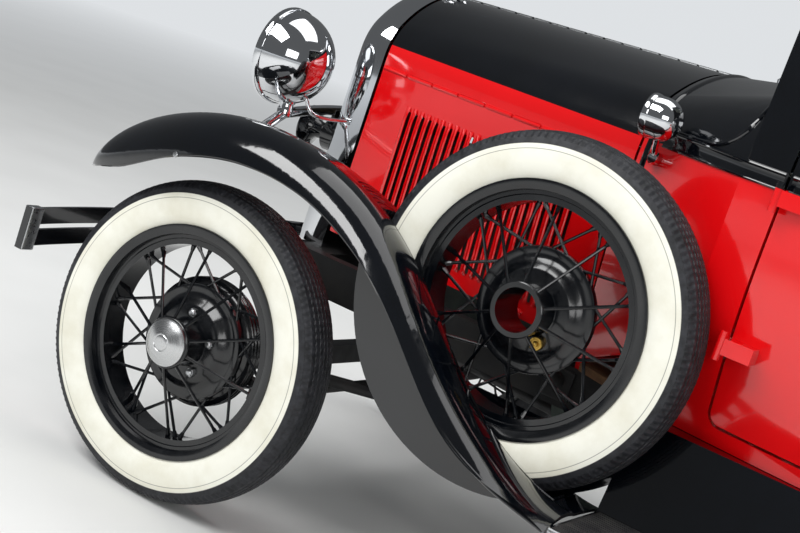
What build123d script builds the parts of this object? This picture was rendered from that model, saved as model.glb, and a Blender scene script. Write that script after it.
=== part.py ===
"""A vintage two-door sedan of about 1930, with wire wheels and two spares in the front fenders.

Millimetres. X points forward, Y to the car's left and Z up, with the ground at z = 0.
Stations along X are measured from the front axle while modelling, and save() moves each
sub-part so that the origin lies midway between the bumpers.
"""
from build123d import *
from math import asin, atan2, ceil, cos, degrees, hypot, pi, radians, sin, sqrt
import os

# Layout of the car
WHEELBASE = 2629
TRACK = 1422
FRONT_OVERHANG = 540
REAR_OVERHANG = 970
AXLE_X = (WHEELBASE + REAR_OVERHANG - FRONT_OVERHANG) / 2
FENDER_HALF_WIDTH = 850
RUNNING_CLEARANCE = 0.3
PANEL_GAP = 6
SHEET = 4

# Wheels and tyres
TYRE_RADIUS = 362
TYRE_HALF_WIDTH = 60.5
BEAD_RADIUS = 247
RIM_FLANGE_RADIUS = 262
RIM_HALF_WIDTH = 52
RIM_WELL_RADIUS = 218
RIM_WALL = 5
HUB_NOSE_RADIUS = 56
HUB_BORE_RADIUS = 45
HUB_DISH_RADIUS = 108
HUB_CAP_RADIUS = 52
SPINDLE_RADIUS = 20
SPOKE_RADIUS = 3.5
FRONT_SPOKES = 10
REAR_SPOKES = 20
LUG_CIRCLE_RADIUS = 70
LUG_COUNT = 5
LUG_HOLE_RADIUS = 7
LUG_NUT_RADIUS = 9.5
DRUM_RADIUS = 145
DRUM_DEPTH = 45

# Steering
KINGPIN_Y = 618
KINGPIN_RADIUS = 11
STEER_ARM_LENGTH = 150
TIE_ROD_DROP = 58
STEERING_WHEEL_RADIUS = 215
STEERING_WHEEL_CENTRE = (-1390, 330, 1110)
COLUMN_FOOT = (-690, 330, 650)
COLUMN_RADIUS = 20

# Frame
RAIL_Y = 350
RAIL_WIDTH = 40
RAIL_DEPTH = 95
FRAME_TOP = 600
RAIL_FRONT = 170
RAIL_REAR = -2960

# Engine and gearbox
GEARBOX_Z = 508
GEARBOX_RADIUS = 82
GEARBOX_REAR = -1010
EXHAUST_Y = -270
PIPE_RADIUS = 20
MUFFLER_RADIUS = 45
TAILPIPE_END = -3290
TAILPIPE_Z = 370
TAILPIPE_TIP = 120

# Hood and cowl: half width, inward tuck at the foot, height of the crown, shoulder radius
HOOD_FRONT = 4
HOOD_REAR = -744
HOOD_HINGE_Z = 1065
HOOD_FOOT_Z = 646
HOOD_FRONT_WIDTH, HOOD_FRONT_TUCK, HOOD_FRONT_TOP, HOOD_FRONT_SHOULDER = 286, 1, 1286, 130
COWL_FRONT_WIDTH, COWL_FRONT_TUCK, COWL_FRONT_TOP, COWL_FRONT_SHOULDER = 440, 80, 1310, 150
HOOD_SHOULDER_Z = 1090
HINGE_ROD_RADIUS = 5
HINGE_ROD_DROP = 6
PIN_CLEARANCE = 0.05
BEVEL_SLOPE = 0.5
CENTRE_BARRELS = 15
SIDE_BARRELS = 9
SIDE_PIN_RADIUS = 2.5
SIDE_BARREL_RADIUS = 5.5
LOUVRE_COUNT = 24
LOUVRE_FIRST = -115
LOUVRE_LAST = -627
LOUVRE_FOOT_Z = 684
LOUVRE_HEAD_Z = 1000
LOUVRE_WIDTH = 13
LOUVRE_RISE = 7

# Body shell
BODY_FOOT_Z = FRAME_TOP
BELT_Z = 1127
WIDEST_Z = 1000
HEADER_Z = 1668
ROOF_TOP_Z = 1788
WALL = 42
PILLAR_FRONT = -1012
DOOR_FRONT = -1108
DOOR_REAR = -2012
DOOR_FOOT_Z = 642
DOOR_HEAD_Z = 1640
WINDOW_SILL_Z = 1185
WINDOW_HEAD_Z = 1590
BACK_X = -3225
BACK_CORNER_RADIUS = 150
GLASS = 6
HINGE_PIN_X = -1102
HINGE_PIN_Y = 617
HINGE_LEVELS = (1105, 806)
HINGE_BARREL_RADIUS = 8
HINGE_BARREL_LENGTH = 58

# Body stations: x, half width at the belt, inward tuck at the foot, lean of the side above the belt
BODY_STATIONS = [
    (PILLAR_FRONT, 577, 92, 38),
    (-1500, 634, 78, 50),
    (-2050, 655, 70, 56),
    (-2650, 644, 70, 60),
    (BACK_X - 40, 600, 70, 70),
]

# Radiator and lamps
SHELL_FRONT = 92
SHELL_REAR = 10
SHELL_FOOT_Z = FRAME_TOP + RUNNING_CLEARANCE
SHELL_BAND = 46
LAMP_CENTRE = (178, 400, 1020)
LAMP_RADIUS = 105
LAMP_BAR_Z = 872
LAMP_BAR_RADIUS = 13
COWL_LAMP_CENTRE = (-804, 520, 1170)
COWL_LAMP_RADIUS = 45

# Fenders and running boards
FENDER_INNER_Y = 586
FENDER_DROP = 75
BOARD_Z = 400
BOARD_THICKNESS = 16
BOARD_FRONT = -985
BOARD_REAR = -2150
REAR_ARCH_RADIUS = 452

# Spare wheel
SPARE_CENTRE = (-728, 647, 729)
WELL_CLEARANCE = 9
SPARE_STUD_LUG = 3

# Bumpers
BUMPER_HALF_WIDTH = 832
BUMPER_LOW_Z = 418
BUMPER_BAR_HEIGHT = 40
BUMPER_PITCH = 53
BUMPER_THICKNESS = 8
BUMPER_SWEEP = 85

# Tail lamps and plate bracket
TAIL_LAMP_CENTRE = (-3262, 540, 720)
PLATE_HOLE_PITCH = 178

os.makedirs("parts", exist_ok=True)


def save(name, shape):
    """Writes one sub-part, moved from the front axle's frame to the car's."""
    export_step(Pos(AXLE_X, 0, 0) * shape, f"parts/{name}.step")


def block(x0, x1, y0, y1, z0, z1):
    """A box between two corners."""
    centre = Pos((x0 + x1) / 2, (y0 + y1) / 2, (z0 + z1) / 2)
    return centre * Box(abs(x1 - x0), abs(y1 - y0), abs(z1 - z0))


def rod(start, end, radius):
    """A round bar from one point to another."""
    start, end = Vector(*start), Vector(*end)
    axis = end - start
    return Plane(origin=start + axis * 0.5, z_dir=axis) * Cylinder(radius, axis.length)


def side_prism(outline, y0, y1):
    """Extrudes an outline drawn in side view, as X and Z, from y0 to y1."""
    face = Plane.XZ.offset(-y1) * make_face(outline)
    return extrude(face, y1 - y0, dir=(0, -1, 0))


def plan_prism(outline, z0, z1):
    """Extrudes an outline drawn in plan, as X and Y, from z0 to z1."""
    face = Plane.XY.offset(z0) * make_face(outline)
    return extrude(face, z1 - z0, dir=(0, 0, 1))


def front_prism(outline, x0, x1):
    """Extrudes an outline drawn in front view, as Y and Z, from x0 to x1."""
    face = Plane.YZ.offset(x0) * make_face(outline)
    return extrude(face, x1 - x0, dir=(1, 0, 0))


def rounded(x0, x1, z0, z1, radius):
    """A rectangle with round corners, as a sketch."""
    return Pos((x0 + x1) / 2, (z0 + z1) / 2) * RectangleRounded(abs(x1 - x0), abs(z1 - z0), radius)


def both_sides(shape):
    """The shape and its mirror image on the car's other side."""
    return shape + mirror(shape, Plane.XZ)


def revolved(profile, axis_point, axis_dir):
    """Turns a profile of (axial, radius) points about an axis."""
    plane = Plane(origin=axis_point, x_dir=axis_dir, z_dir=(0, 0, 1) if abs(axis_dir[2]) < 0.5 else (0, 1, 0))
    face = plane * make_face(Polyline(*profile, close=True))
    return revolve(face, Axis(axis_point, axis_dir))


def arch(width, tuck, foot, widest, spring, top, shoulder):
    """The outline of a panelled section: tucked sides, round shoulders and a crowned top."""
    rise = top - spring
    crown = ((width - shoulder) ** 2 + rise ** 2 - shoulder ** 2) / (2 * (rise - shoulder))
    slope = atan2(spring - top + crown, width - shoulder)
    join = (crown * cos(slope), top - crown + crown * sin(slope))
    knee = (width - shoulder + shoulder * cos(slope / 2), spring + shoulder * sin(slope / 2))
    side_middle = (width - tuck * 0.25, (foot + widest) / 2)
    right = [
        ThreePointArc((width - tuck, foot), side_middle, (width, widest)),
        Line((width, widest), (width, spring)),
        ThreePointArc((width, spring), knee, join),
    ]
    left = [
        ThreePointArc((-join[0], join[1]), (-knee[0], knee[1]), (-width, spring)),
        Line((-width, spring), (-width, widest)),
        ThreePointArc((-width, widest), (-side_middle[0], side_middle[1]), (tuck - width, foot)),
    ]
    lid = ThreePointArc(join, (0, top), (-join[0], join[1]))
    base = Line((tuck - width, foot), (width - tuck, foot))
    return Wire(right + [lid] + left + [base])


def station_face(outline, x):
    """Places a front-view outline at a station."""
    return Plane.YZ.offset(x) * make_face(outline)


def blend_value(x, name_index):
    """A body dimension at a station, by straight interpolation in BODY_STATIONS."""
    for (x0, *a), (x1, *b) in zip(BODY_STATIONS, BODY_STATIONS[1:]):
        if x1 <= x <= x0:
            return a[name_index] + (b[name_index] - a[name_index]) * (x0 - x) / (x0 - x1)
    edge = BODY_STATIONS[0] if x > BODY_STATIONS[0][0] else BODY_STATIONS[-1]
    return edge[1 + name_index]


# Wheels

def wheel_origin(x, side):
    return (x, side * TRACK / 2, TYRE_RADIUS)


def tyre(centre, side):
    """Tyre section as axial and radial places, turned about the wheel's axle."""
    bead = BEAD_RADIUS + RUNNING_CLEARANCE
    inner = RIM_HALF_WIDTH - RIM_WALL - RUNNING_CLEARANCE
    flange = RIM_FLANGE_RADIUS + RUNNING_CLEARANCE
    width = TYRE_HALF_WIDTH
    half = [(inner, bead), (inner, flange), (width - 5, flange + 6), (width, 298), (width - 4, 325),
            (width - 13, 348), (width - 27, 358), (0, TYRE_RADIUS)]
    profile = half + [(-a, r) for a, r in reversed(half[:-1])]
    return revolved(profile, centre, (0, side, 0))


def rim_profile():
    """A drop-centre rim of even wall, as axial and radial places."""
    flange, seat, well = RIM_FLANGE_RADIUS, BEAD_RADIUS, RIM_WELL_RADIUS
    edge, step = RIM_HALF_WIDTH, 34
    outside = [(edge, flange), (edge - RIM_WALL, flange), (edge - RIM_WALL, seat), (step - RIM_WALL, seat - 2),
               (step - RIM_WALL, well + RIM_WALL)]
    inside = [(step, well), (step, seat - RIM_WALL - 2), (edge, seat - RIM_WALL)]
    top = outside + [(-a, r) for a, r in reversed(outside)]
    bottom = [(-a, r) for a, r in reversed(inside)] + inside
    return top + bottom


def hub_profile():
    """Nose, dish and spoke ring of the hub shell."""
    nose, bore, dish = HUB_NOSE_RADIUS, HUB_BORE_RADIUS, HUB_DISH_RADIUS
    return [(-26, bore), (28, bore), (28, nose), (-14, nose + 4), (-16, dish - 10), (-4, dish - 8), (-4, dish),
            (-26, dish)]


def spokes(side):
    """Wire spokes about the Y axis: a front row to the nose and a crossed rear row to the dish."""
    wires = []
    rows = [
        # count, hub axial, hub radius, rim axial, lean around the hub in degrees
        (FRONT_SPOKES, 20, HUB_NOSE_RADIUS - 2, -6, 0),
        (REAR_SPOKES, -10, HUB_DISH_RADIUS - 4, 8, 26),
    ]
    for count, hub_axial, hub_radius, rim_axial, lean in rows:
        for k in range(count):
            angle = 2 * pi * k / count + 0.1
            cross = radians(lean) * (1 if k % 2 else -1)
            start = (hub_radius * sin(angle), side * hub_axial, hub_radius * cos(angle))
            reach = RIM_WELL_RADIUS + RIM_WALL / 2
            end = (reach * sin(angle + cross), side * rim_axial, reach * cos(angle + cross))
            wires.append(rod(start, end, SPOKE_RADIUS))
    return wires


def wire_wheel(side):
    """Rim, spokes and hub shell about the origin, with its face towards the given side."""
    axis = (0, side, 0)
    rim = revolved(rim_profile(), (0, 0, 0), axis)
    hub = revolved(hub_profile(), (0, 0, 0), axis)
    for k in range(LUG_COUNT):
        angle = 2 * pi * k / LUG_COUNT
        x, z = LUG_CIRCLE_RADIUS * sin(angle), LUG_CIRCLE_RADIUS * cos(angle)
        hub -= rod((x, side * -40, z), (x, side * 40, z), LUG_HOLE_RADIUS)
    return rim + spokes(side) + hub


def road_fittings(side):
    """Brake drum, lug nuts and hub cap, about the origin."""
    axis = (0, side, 0)
    back = -30 - DRUM_DEPTH
    bore = SPINDLE_RADIUS + RUNNING_CLEARANCE * 0.1
    drum = revolved([(-26, bore), (-26, DRUM_RADIUS - 12), (-34, DRUM_RADIUS), (back, DRUM_RADIUS),
                     (back, DRUM_RADIUS - 8), (-36, DRUM_RADIUS - 8), (-36, bore)], (0, 0, 0), axis)
    cap = revolved([(16, 0), (50, 0), (48, 22), (42, HUB_CAP_RADIUS - 8), (34, HUB_CAP_RADIUS), (28, HUB_CAP_RADIUS),
                    (16, HUB_BORE_RADIUS)], (0, 0, 0), axis)
    nuts = []
    for k in range(LUG_COUNT):
        angle = 2 * pi * k / LUG_COUNT
        x, z = LUG_CIRCLE_RADIUS * sin(angle), LUG_CIRCLE_RADIUS * cos(angle)
        nuts.append(rod((x, side * -28, z), (x, side * -6, z), LUG_HOLE_RADIUS))
        nuts.append(rod((x, side * -14, z), (x, side * -2, z), LUG_NUT_RADIUS))
    return drum, cap, nuts


def road_wheel(side):
    drum, cap, nuts = road_fittings(side)
    return wire_wheel(side) + drum + cap + nuts


WHEEL_PLACES = [
    # name, station, side
    ("front_left", 0, 1), ("front_right", 0, -1),
    ("rear_left", -WHEELBASE, 1), ("rear_right", -WHEELBASE, -1),
]


def make_wheels():
    left = road_wheel(1)
    for name, x, side in WHEEL_PLACES:
        centre = wheel_origin(x, side)
        wheel = left if side > 0 else mirror(left, Plane.XZ)
        save(f"wheel_{name}", Pos(*centre) * wheel)
        save(f"tyre_{name}", tyre(centre, side))
    spare = Pos(*SPARE_CENTRE) * wire_wheel(1)
    save("spare_wheels", both_sides(spare))
    save("spare_tyres", both_sides(tyre(SPARE_CENTRE, 1)))


# Axles and steering

DRUM_BACK = -30 - DRUM_DEPTH
PLATE_THICKNESS = 5


def spindle(x, side, inner_y):
    """A backing plate inside the drum, and the spindle that the hub turns on."""
    y = side * TRACK / 2
    plate_y = y + side * (DRUM_BACK + 4)
    plate = rod((x, plate_y, TYRE_RADIUS), (x, plate_y + side * PLATE_THICKNESS, TYRE_RADIUS),
                DRUM_RADIUS - 8 - PANEL_GAP)
    pin = rod((x, side * inner_y, TYRE_RADIUS), (x, y + side * 12, TYRE_RADIUS), SPINDLE_RADIUS)
    return plate + pin


BEAM_DEPTH = 50
BEAM_WIDTH = 40
BEAM_Z = 318
WISHBONE_BALL_RADIUS = 38
TORQUE_TUBE_RADIUS = 38
WISHBONE_BALL_Z = GEARBOX_Z - GEARBOX_RADIUS - WISHBONE_BALL_RADIUS - RUNNING_CLEARANCE
KINGPIN_HEIGHT = 110
EYE_HEIGHT = 58


def knuckle(side):
    """Kingpin yoke round the axle's eye, spindle, backing plate and steering arm."""
    y = side * KINGPIN_Y
    bore = KINGPIN_RADIUS + RUNNING_CLEARANCE * 0.1
    gap = EYE_HEIGHT / 2 + RUNNING_CLEARANCE
    low, high = TYRE_RADIUS - KINGPIN_HEIGHT / 2, TYRE_RADIUS + KINGPIN_HEIGHT / 2
    ears = rod((0, y, low), (0, y, TYRE_RADIUS - gap), 21) + rod((0, y, TYRE_RADIUS + gap), (0, y, high), 21)
    yoke_y = y + side * 24
    yoke = block(-21, 21, yoke_y, yoke_y + side * 14, low, high)
    ears += block(-21, 21, y, yoke_y + side * 7, low, TYRE_RADIUS - gap)
    ears += block(-21, 21, y, yoke_y + side * 7, TYRE_RADIUS + gap, high)
    body = ears + yoke + spindle(0, side, abs(yoke_y) + 7)
    body -= rod((0, y, low - 5), (0, y, high + 5), bore)
    arm_z = low + 10
    arm = block(-STEER_ARM_LENGTH, 0, y - 12, y + 12, arm_z - 9, arm_z + 9)
    arm -= rod((0, y, low - 5), (0, y, high + 5), bore + 12)
    ring = rod((0, y, low), (0, y, low + 19), 21) - rod((0, y, low - 5), (0, y, high + 5), bore)
    eye = rod((-STEER_ARM_LENGTH, y, arm_z - 9), (-STEER_ARM_LENGTH, y, arm_z + 9), 16)
    body = body + arm + ring + eye
    return body - rod((-STEER_ARM_LENGTH, y, 0), (-STEER_ARM_LENGTH, y, 900), 8 + RUNNING_CLEARANCE)


def make_steering():
    save("knuckle_left", knuckle(1))
    save("knuckle_right", knuckle(-1))
    arm_z = TYRE_RADIUS - KINGPIN_HEIGHT / 2 + 10
    rod_z = arm_z - 9 - 16
    tie = rod((-STEER_ARM_LENGTH, KINGPIN_Y, rod_z), (-STEER_ARM_LENGTH, -KINGPIN_Y, rod_z), 12)
    for side in (1, -1):
        y = side * KINGPIN_Y
        tie += rod((-STEER_ARM_LENGTH, y, rod_z - 14), (-STEER_ARM_LENGTH, y, rod_z + 14), 16)
        tie += rod((-STEER_ARM_LENGTH, y, rod_z), (-STEER_ARM_LENGTH, y, arm_z + 9), 7.9)
    save("tie_rod", tie)


def make_axles():
    eye_gap = RUNNING_CLEARANCE
    # Front beam with its eyes, leaf spring, spring shackles and wishbone
    half = EYE_HEIGHT / 2 - eye_gap
    beam_end = KINGPIN_Y - 20
    beam = block(-BEAM_WIDTH / 2, BEAM_WIDTH / 2, -beam_end + 60, beam_end - 60, BEAM_Z - BEAM_DEPTH / 2,
                 BEAM_Z + BEAM_DEPTH / 2)
    for side in (1, -1):
        y = side * KINGPIN_Y
        neck = y - side * 26
        outline = Polyline((side * (beam_end - 62), BEAM_Z - BEAM_DEPTH / 2), (side * (beam_end - 62), BEAM_Z + BEAM_DEPTH / 2),
                           (neck, TYRE_RADIUS + half), (y, TYRE_RADIUS + half), (y, TYRE_RADIUS - half), (neck, TYRE_RADIUS - half),
                           close=True)
        beam += front_prism(outline, -BEAM_WIDTH / 2 + 2, BEAM_WIDTH / 2 - 2)
        beam += rod((0, y, TYRE_RADIUS - half), (0, y, TYRE_RADIUS + half), 20)
        beam += rod((0, y, TYRE_RADIUS - KINGPIN_HEIGHT / 2), (0, y, TYRE_RADIUS + KINGPIN_HEIGHT / 2), KINGPIN_RADIUS)
        beam += rod((0, side * 430, BEAM_Z), (0, side * 430, 440), 14)
        beam += rod((-10, side * 470, BEAM_Z), (-930, side * 10, WISHBONE_BALL_Z), 15)
    beam += Pos(-930, 0, WISHBONE_BALL_Z) * Sphere(WISHBONE_BALL_RADIUS)
    save("front_axle", beam)
    leaf = front_prism(Wire([
        ThreePointArc((-445, 428), (0, 498), (445, 428)), Line((445, 428), (445, 440)),
        Line((445, 440), (190, FRAME_TOP - RAIL_DEPTH + 2)), Line((190, FRAME_TOP - RAIL_DEPTH + 2), (-190, FRAME_TOP - RAIL_DEPTH + 2)),
        Line((-190, FRAME_TOP - RAIL_DEPTH + 2), (-445, 440)), Line((-445, 440), (-445, 428))]), -25, 25)
    save("front_spring", leaf - both_sides(rod((0, 430, 300), (0, 430, 440.1), 14.1)))
    # Rear axle: banjo, tubes, flanges and the torque tube
    x = -WHEELBASE
    tube_end = TRACK / 2 + DRUM_BACK
    rear = rod((x, -tube_end, TYRE_RADIUS), (x, tube_end, TYRE_RADIUS), 38)
    rear += Pos(x, 0, TYRE_RADIUS) * Sphere(135)
    rear += rod((x + 100, 0, TYRE_RADIUS), (GEARBOX_REAR - 8, 0, GEARBOX_Z), TORQUE_TUBE_RADIUS)
    rear -= block(GEARBOX_REAR - RUNNING_CLEARANCE, 0, -100, 100, 300, 700)
    for side in (1, -1):
        rear += spindle(x, side, tube_end - 40)
        rear += rod((x, side * 500, TYRE_RADIUS), (x, side * 500, 440), 14)
        rear += rod((x + 20, side * 480, TYRE_RADIUS), (-1300, side * 30, 445), 14)
    save("rear_axle", rear)
    top = FRAME_TOP - RAIL_DEPTH + 52
    leaf = front_prism(Wire([
        ThreePointArc((-515, 426), (0, top - 27), (515, 426)), Line((515, 426), (515, 440)), Line((515, 440), (120, top)),
        Line((120, top), (-120, top)), Line((-120, top), (-515, 440)), Line((-515, 440), (-515, 426)),
    ]), x - 28, x + 28)
    save("rear_spring", leaf - both_sides(rod((x, 500, 300), (x, 500, 440.1), 14.1)))


# Chassis

def make_chassis():
    top, low = FRAME_TOP, FRAME_TOP - RAIL_DEPTH
    inner, outer = RAIL_Y - RAIL_WIDTH / 2, RAIL_Y + RAIL_WIDTH / 2
    rail = block(RAIL_REAR, RAIL_FRONT, inner, outer, low, top)
    rail -= block(RAIL_REAR - 1, RAIL_FRONT + 1, inner - 1, outer - SHEET, low + SHEET, top - SHEET)
    frame = both_sides(rail)
    members = [
        # station, length along X, height of the underside
        (0, 90, low + 2), (-1060, 80, low), (-1900, 80, low), (-WHEELBASE, 90, low + 52), (RAIL_REAR + 30, 60, low),
    ]
    for x, length, under in members:
        frame += block(x - length / 2, x + length / 2, -inner - 3, inner + 3, under, top)
    frame -= rod((GEARBOX_REAR - 5, 0, GEARBOX_Z), (GEARBOX_REAR - 120, 0, GEARBOX_Z - 6), TORQUE_TUBE_RADIUS + 8)
    save("frame_rails", frame)

    engine = block(-640, -90, -170, 170, 470, 940)
    engine += rod((HOOD_REAR + 12, 0, 520), (-640, 0, 520), 150)
    engine += rod((GEARBOX_REAR, 0, GEARBOX_Z), (-640, 0, GEARBOX_Z), GEARBOX_RADIUS)
    for side in (1, -1):
        engine += block(-620, -560, side * 160, side * (inner - RUNNING_CLEARANCE), 540, 580)
    engine += block(-90, -46, -60, 60, 520, 600)
    save("engine_block", engine)

    y = EXHAUST_Y
    exhaust = rod((-1300, y, 440), (-1800, y, 440), MUFFLER_RADIUS)
    runs = [
        [(-440, -150, 770), (-440, -230, 700), (-470, y, 480), (-700, y, 440), (-1300, y, 440)],
        [(-1800, y, 440), (-2400, y, 455), (-2850, y, 455), (-3050, y, TAILPIPE_Z), (TAILPIPE_END + 20, y, TAILPIPE_Z)],
    ]
    for route in runs:
        for a, b in zip(route, route[1:]):
            exhaust += rod(a, b, PIPE_RADIUS)
        for point in route[1:-1]:
            exhaust += Pos(*point) * Sphere(PIPE_RADIUS)
    exhaust += rod((TAILPIPE_END + TAILPIPE_TIP, y, TAILPIPE_Z), (TAILPIPE_END, y, TAILPIPE_Z), PIPE_RADIUS + 1)
    exhaust -= rod((TAILPIPE_END + 60, y, TAILPIPE_Z), (TAILPIPE_END - 1, y, TAILPIPE_Z), PIPE_RADIUS - 3)
    save("exhaust", exhaust - engine)


# Radiator, lamps and bumpers

def make_front():
    spring = HOOD_SHOULDER_Z
    outer = arch(HOOD_FRONT_WIDTH, HOOD_FRONT_TUCK, SHELL_FOOT_Z, 700, spring, HOOD_FRONT_TOP, HOOD_FRONT_SHOULDER)
    band = SHELL_BAND
    inner = arch(HOOD_FRONT_WIDTH - band, HOOD_FRONT_TUCK, SHELL_FOOT_Z + band, 700, spring - 10, HOOD_FRONT_TOP - band - 12,
                 HOOD_FRONT_SHOULDER - band + 20)
    shell = front_prism(outer, SHELL_REAR, SHELL_FRONT) - front_prism(inner, SHELL_REAR - 1, SHELL_FRONT + 1)
    neck = rod(((SHELL_FRONT + SHELL_REAR) / 2, 0, HOOD_FRONT_TOP - 30), ((SHELL_FRONT + SHELL_REAR) / 2, 0, 1316), 26)
    cap = rod(((SHELL_FRONT + SHELL_REAR) / 2, 0, 1316), ((SHELL_FRONT + SHELL_REAR) / 2, 0, 1336), 38)
    save("radiator_shell", shell + neck + cap)
    core = front_prism(inner, SHELL_REAR + 8, SHELL_FRONT - 18)
    save("radiator_core", core)

    x, y, z = LAMP_CENTRE
    r = LAMP_RADIUS
    profile = [(-88, 0), (-84, 30), (-66, 60), (-36, 86), (0, r - 5), (50, r - 1), (50, r + 3), (68, r + 3), (68, r - 7),
               (44, r - 10), (0, r - 12), (-36, 78), (-62, 52), (-78, 0)]
    profile = profile[:6] + [(50, r + 3), (68, r + 3), (68, r - 9), (40, r - 9), (40, r - 13), (0, r - 12), (-36, 78), (-62, 52), (-78, 0)]
    bowl = revolved(profile, LAMP_CENTRE, (1, 0, 0))
    post = rod((x - 20, y, LAMP_BAR_Z + LAMP_BAR_RADIUS + RUNNING_CLEARANCE), (x - 20, y, z - r + 12), 16)
    save("lamp_bowls", both_sides(bowl + post - revolved([(-78, 0), (-62, 52), (-36, 78), (0, r - 12), (44, r - 10), (44, 0)],
                                                        LAMP_CENTRE, (1, 0, 0))))
    edge = r - 9 - RUNNING_CLEARANCE
    lens = revolved([(50, 0), (78, 0), (72, 60), (62, edge), (42, edge), (46, 60)], LAMP_CENTRE, (1, 0, 0))
    save("lamp_lenses", both_sides(lens))
    bar_x = x - 20
    bar = rod((bar_x, -430, LAMP_BAR_Z), (bar_x, 430, LAMP_BAR_Z), LAMP_BAR_RADIUS)
    for side in (1, -1):
        bar += Pos(bar_x, side * 430, LAMP_BAR_Z) * Sphere(LAMP_BAR_RADIUS)
        bar += rod((bar_x, side * 430, LAMP_BAR_Z), (110, side * 560, 800), LAMP_BAR_RADIUS)
    horn = revolved([(-60, 0), (-60, 44), (-10, 44), (0, 18), (110, 24), (170, 60), (174, 60), (174, 0)],
                    (70, 330, LAMP_BAR_Z - 62), (1, 0, 0))
    bar += horn + rod((bar_x, 330, LAMP_BAR_Z - 50), (bar_x, 330, LAMP_BAR_Z), 9)
    save("lamp_bar", bar)

    cx, cy, cz = COWL_LAMP_CENTRE
    lamp = revolved([(-40, 0), (-36, 22), (-16, COWL_LAMP_RADIUS - 8), (14, COWL_LAMP_RADIUS), (28, COWL_LAMP_RADIUS),
                     (34, COWL_LAMP_RADIUS - 8), (36, 0)], COWL_LAMP_CENTRE, (1, 0, 0))
    lamp += rod((cx, cy, cz - 30), (cx + 8, 489, 1093), 7) + rod((cx + 8, 455, 1087), (cx + 8, 500, 1087), 13)
    save("cowl_lamps", both_sides(lamp - cowl_outer()))


def bumper_bar(x_middle, direction, z):
    """One swept flat bar across the car, bowed out at its middle."""
    half = BUMPER_HALF_WIDTH
    bow = BUMPER_SWEEP * direction
    outside = ThreePointArc((x_middle - bow, -half), (x_middle, 0), (x_middle - bow, half))
    step = BUMPER_THICKNESS * direction
    inside = ThreePointArc((x_middle - bow - step, half), (x_middle - step, 0), (x_middle - bow - step, -half))
    ends = [Line((x_middle - bow, half), (x_middle - bow - step, half)),
            Line((x_middle - bow - step, -half), (x_middle - bow, -half))]
    return plan_prism(Wire([outside, ends[0], inside, ends[1]]), z, z + BUMPER_BAR_HEIGHT)


def make_bumpers():
    bumpers = [
        # name, station of the middle's outer face, outward direction, where its irons meet the frame
        ("front_bumper", FRONT_OVERHANG, 1, RAIL_FRONT),
        ("rear_bumper", -WHEELBASE - REAR_OVERHANG, -1, RAIL_REAR),
    ]
    for name, x, out, rail_end in bumpers:
        bumper = bumper_bar(x, out, BUMPER_LOW_Z) + bumper_bar(x, out, BUMPER_LOW_Z + BUMPER_PITCH)
        top = BUMPER_LOW_Z + BUMPER_PITCH + BUMPER_BAR_HEIGHT
        sweep_radius = (BUMPER_SWEEP ** 2 + BUMPER_HALF_WIDTH ** 2) / (2 * BUMPER_SWEEP)
        for side in (1, -1):
            end_x = x - out * BUMPER_SWEEP
            clamp = block(end_x - out * 16, end_x + out * 4, side * (BUMPER_HALF_WIDTH - 34), side * (BUMPER_HALF_WIDTH + 3),
                          BUMPER_LOW_Z - 4, top + 4)
            bow = sweep_radius - sqrt(sweep_radius ** 2 - RAIL_Y ** 2)
            iron_x = x - out * (bow + BUMPER_THICKNESS)
            plate = block(iron_x - out * 12, iron_x + out * 2, side * (RAIL_Y - 25), side * (RAIL_Y + 25), BUMPER_LOW_Z, top)
            iron = rod((iron_x - out * 4, side * RAIL_Y, top - 20), (rail_end, side * RAIL_Y, FRAME_TOP - RAIL_DEPTH + 14), 13)
            foot = block(rail_end, rail_end + out * 16, side * (RAIL_Y - 20), side * (RAIL_Y + 20), FRAME_TOP - RAIL_DEPTH,
                         FRAME_TOP)
            bumper += clamp + plate + iron + foot
        rail_box = block(rail_end - out * 100, rail_end, -500, 500, 300, 700)
        save(name, bumper - rail_box)


# Hood and cowl

def hood_sections(inset, foot):
    front = arch(HOOD_FRONT_WIDTH - inset, HOOD_FRONT_TUCK, foot, HOOD_HINGE_Z, HOOD_SHOULDER_Z, HOOD_FRONT_TOP - inset,
                 HOOD_FRONT_SHOULDER - inset)
    rear = arch(COWL_FRONT_WIDTH - inset, COWL_FRONT_TUCK, foot, HOOD_HINGE_Z, HOOD_SHOULDER_Z, COWL_FRONT_TOP - inset,
                COWL_FRONT_SHOULDER - inset)
    return front, rear


def hood_solid(inset, foot, x0=HOOD_FRONT, x1=HOOD_REAR):
    front, rear = hood_sections(inset, foot)
    return loft([station_face(front, x0), station_face(rear, x1)], ruled=True)


def hood_side_y(x, z):
    """Half width of the hood's side at a place, taking the side as straight from foot to hinge."""
    part = (HOOD_FRONT - x) / (HOOD_FRONT - HOOD_REAR)
    width = HOOD_FRONT_WIDTH + (COWL_FRONT_WIDTH - HOOD_FRONT_WIDTH) * part
    tuck = HOOD_FRONT_TUCK + (COWL_FRONT_TUCK - HOOD_FRONT_TUCK) * part
    down = (HOOD_HINGE_Z - z) / (HOOD_HINGE_Z - HOOD_FOOT_Z)
    return width - tuck * down ** 2


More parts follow.
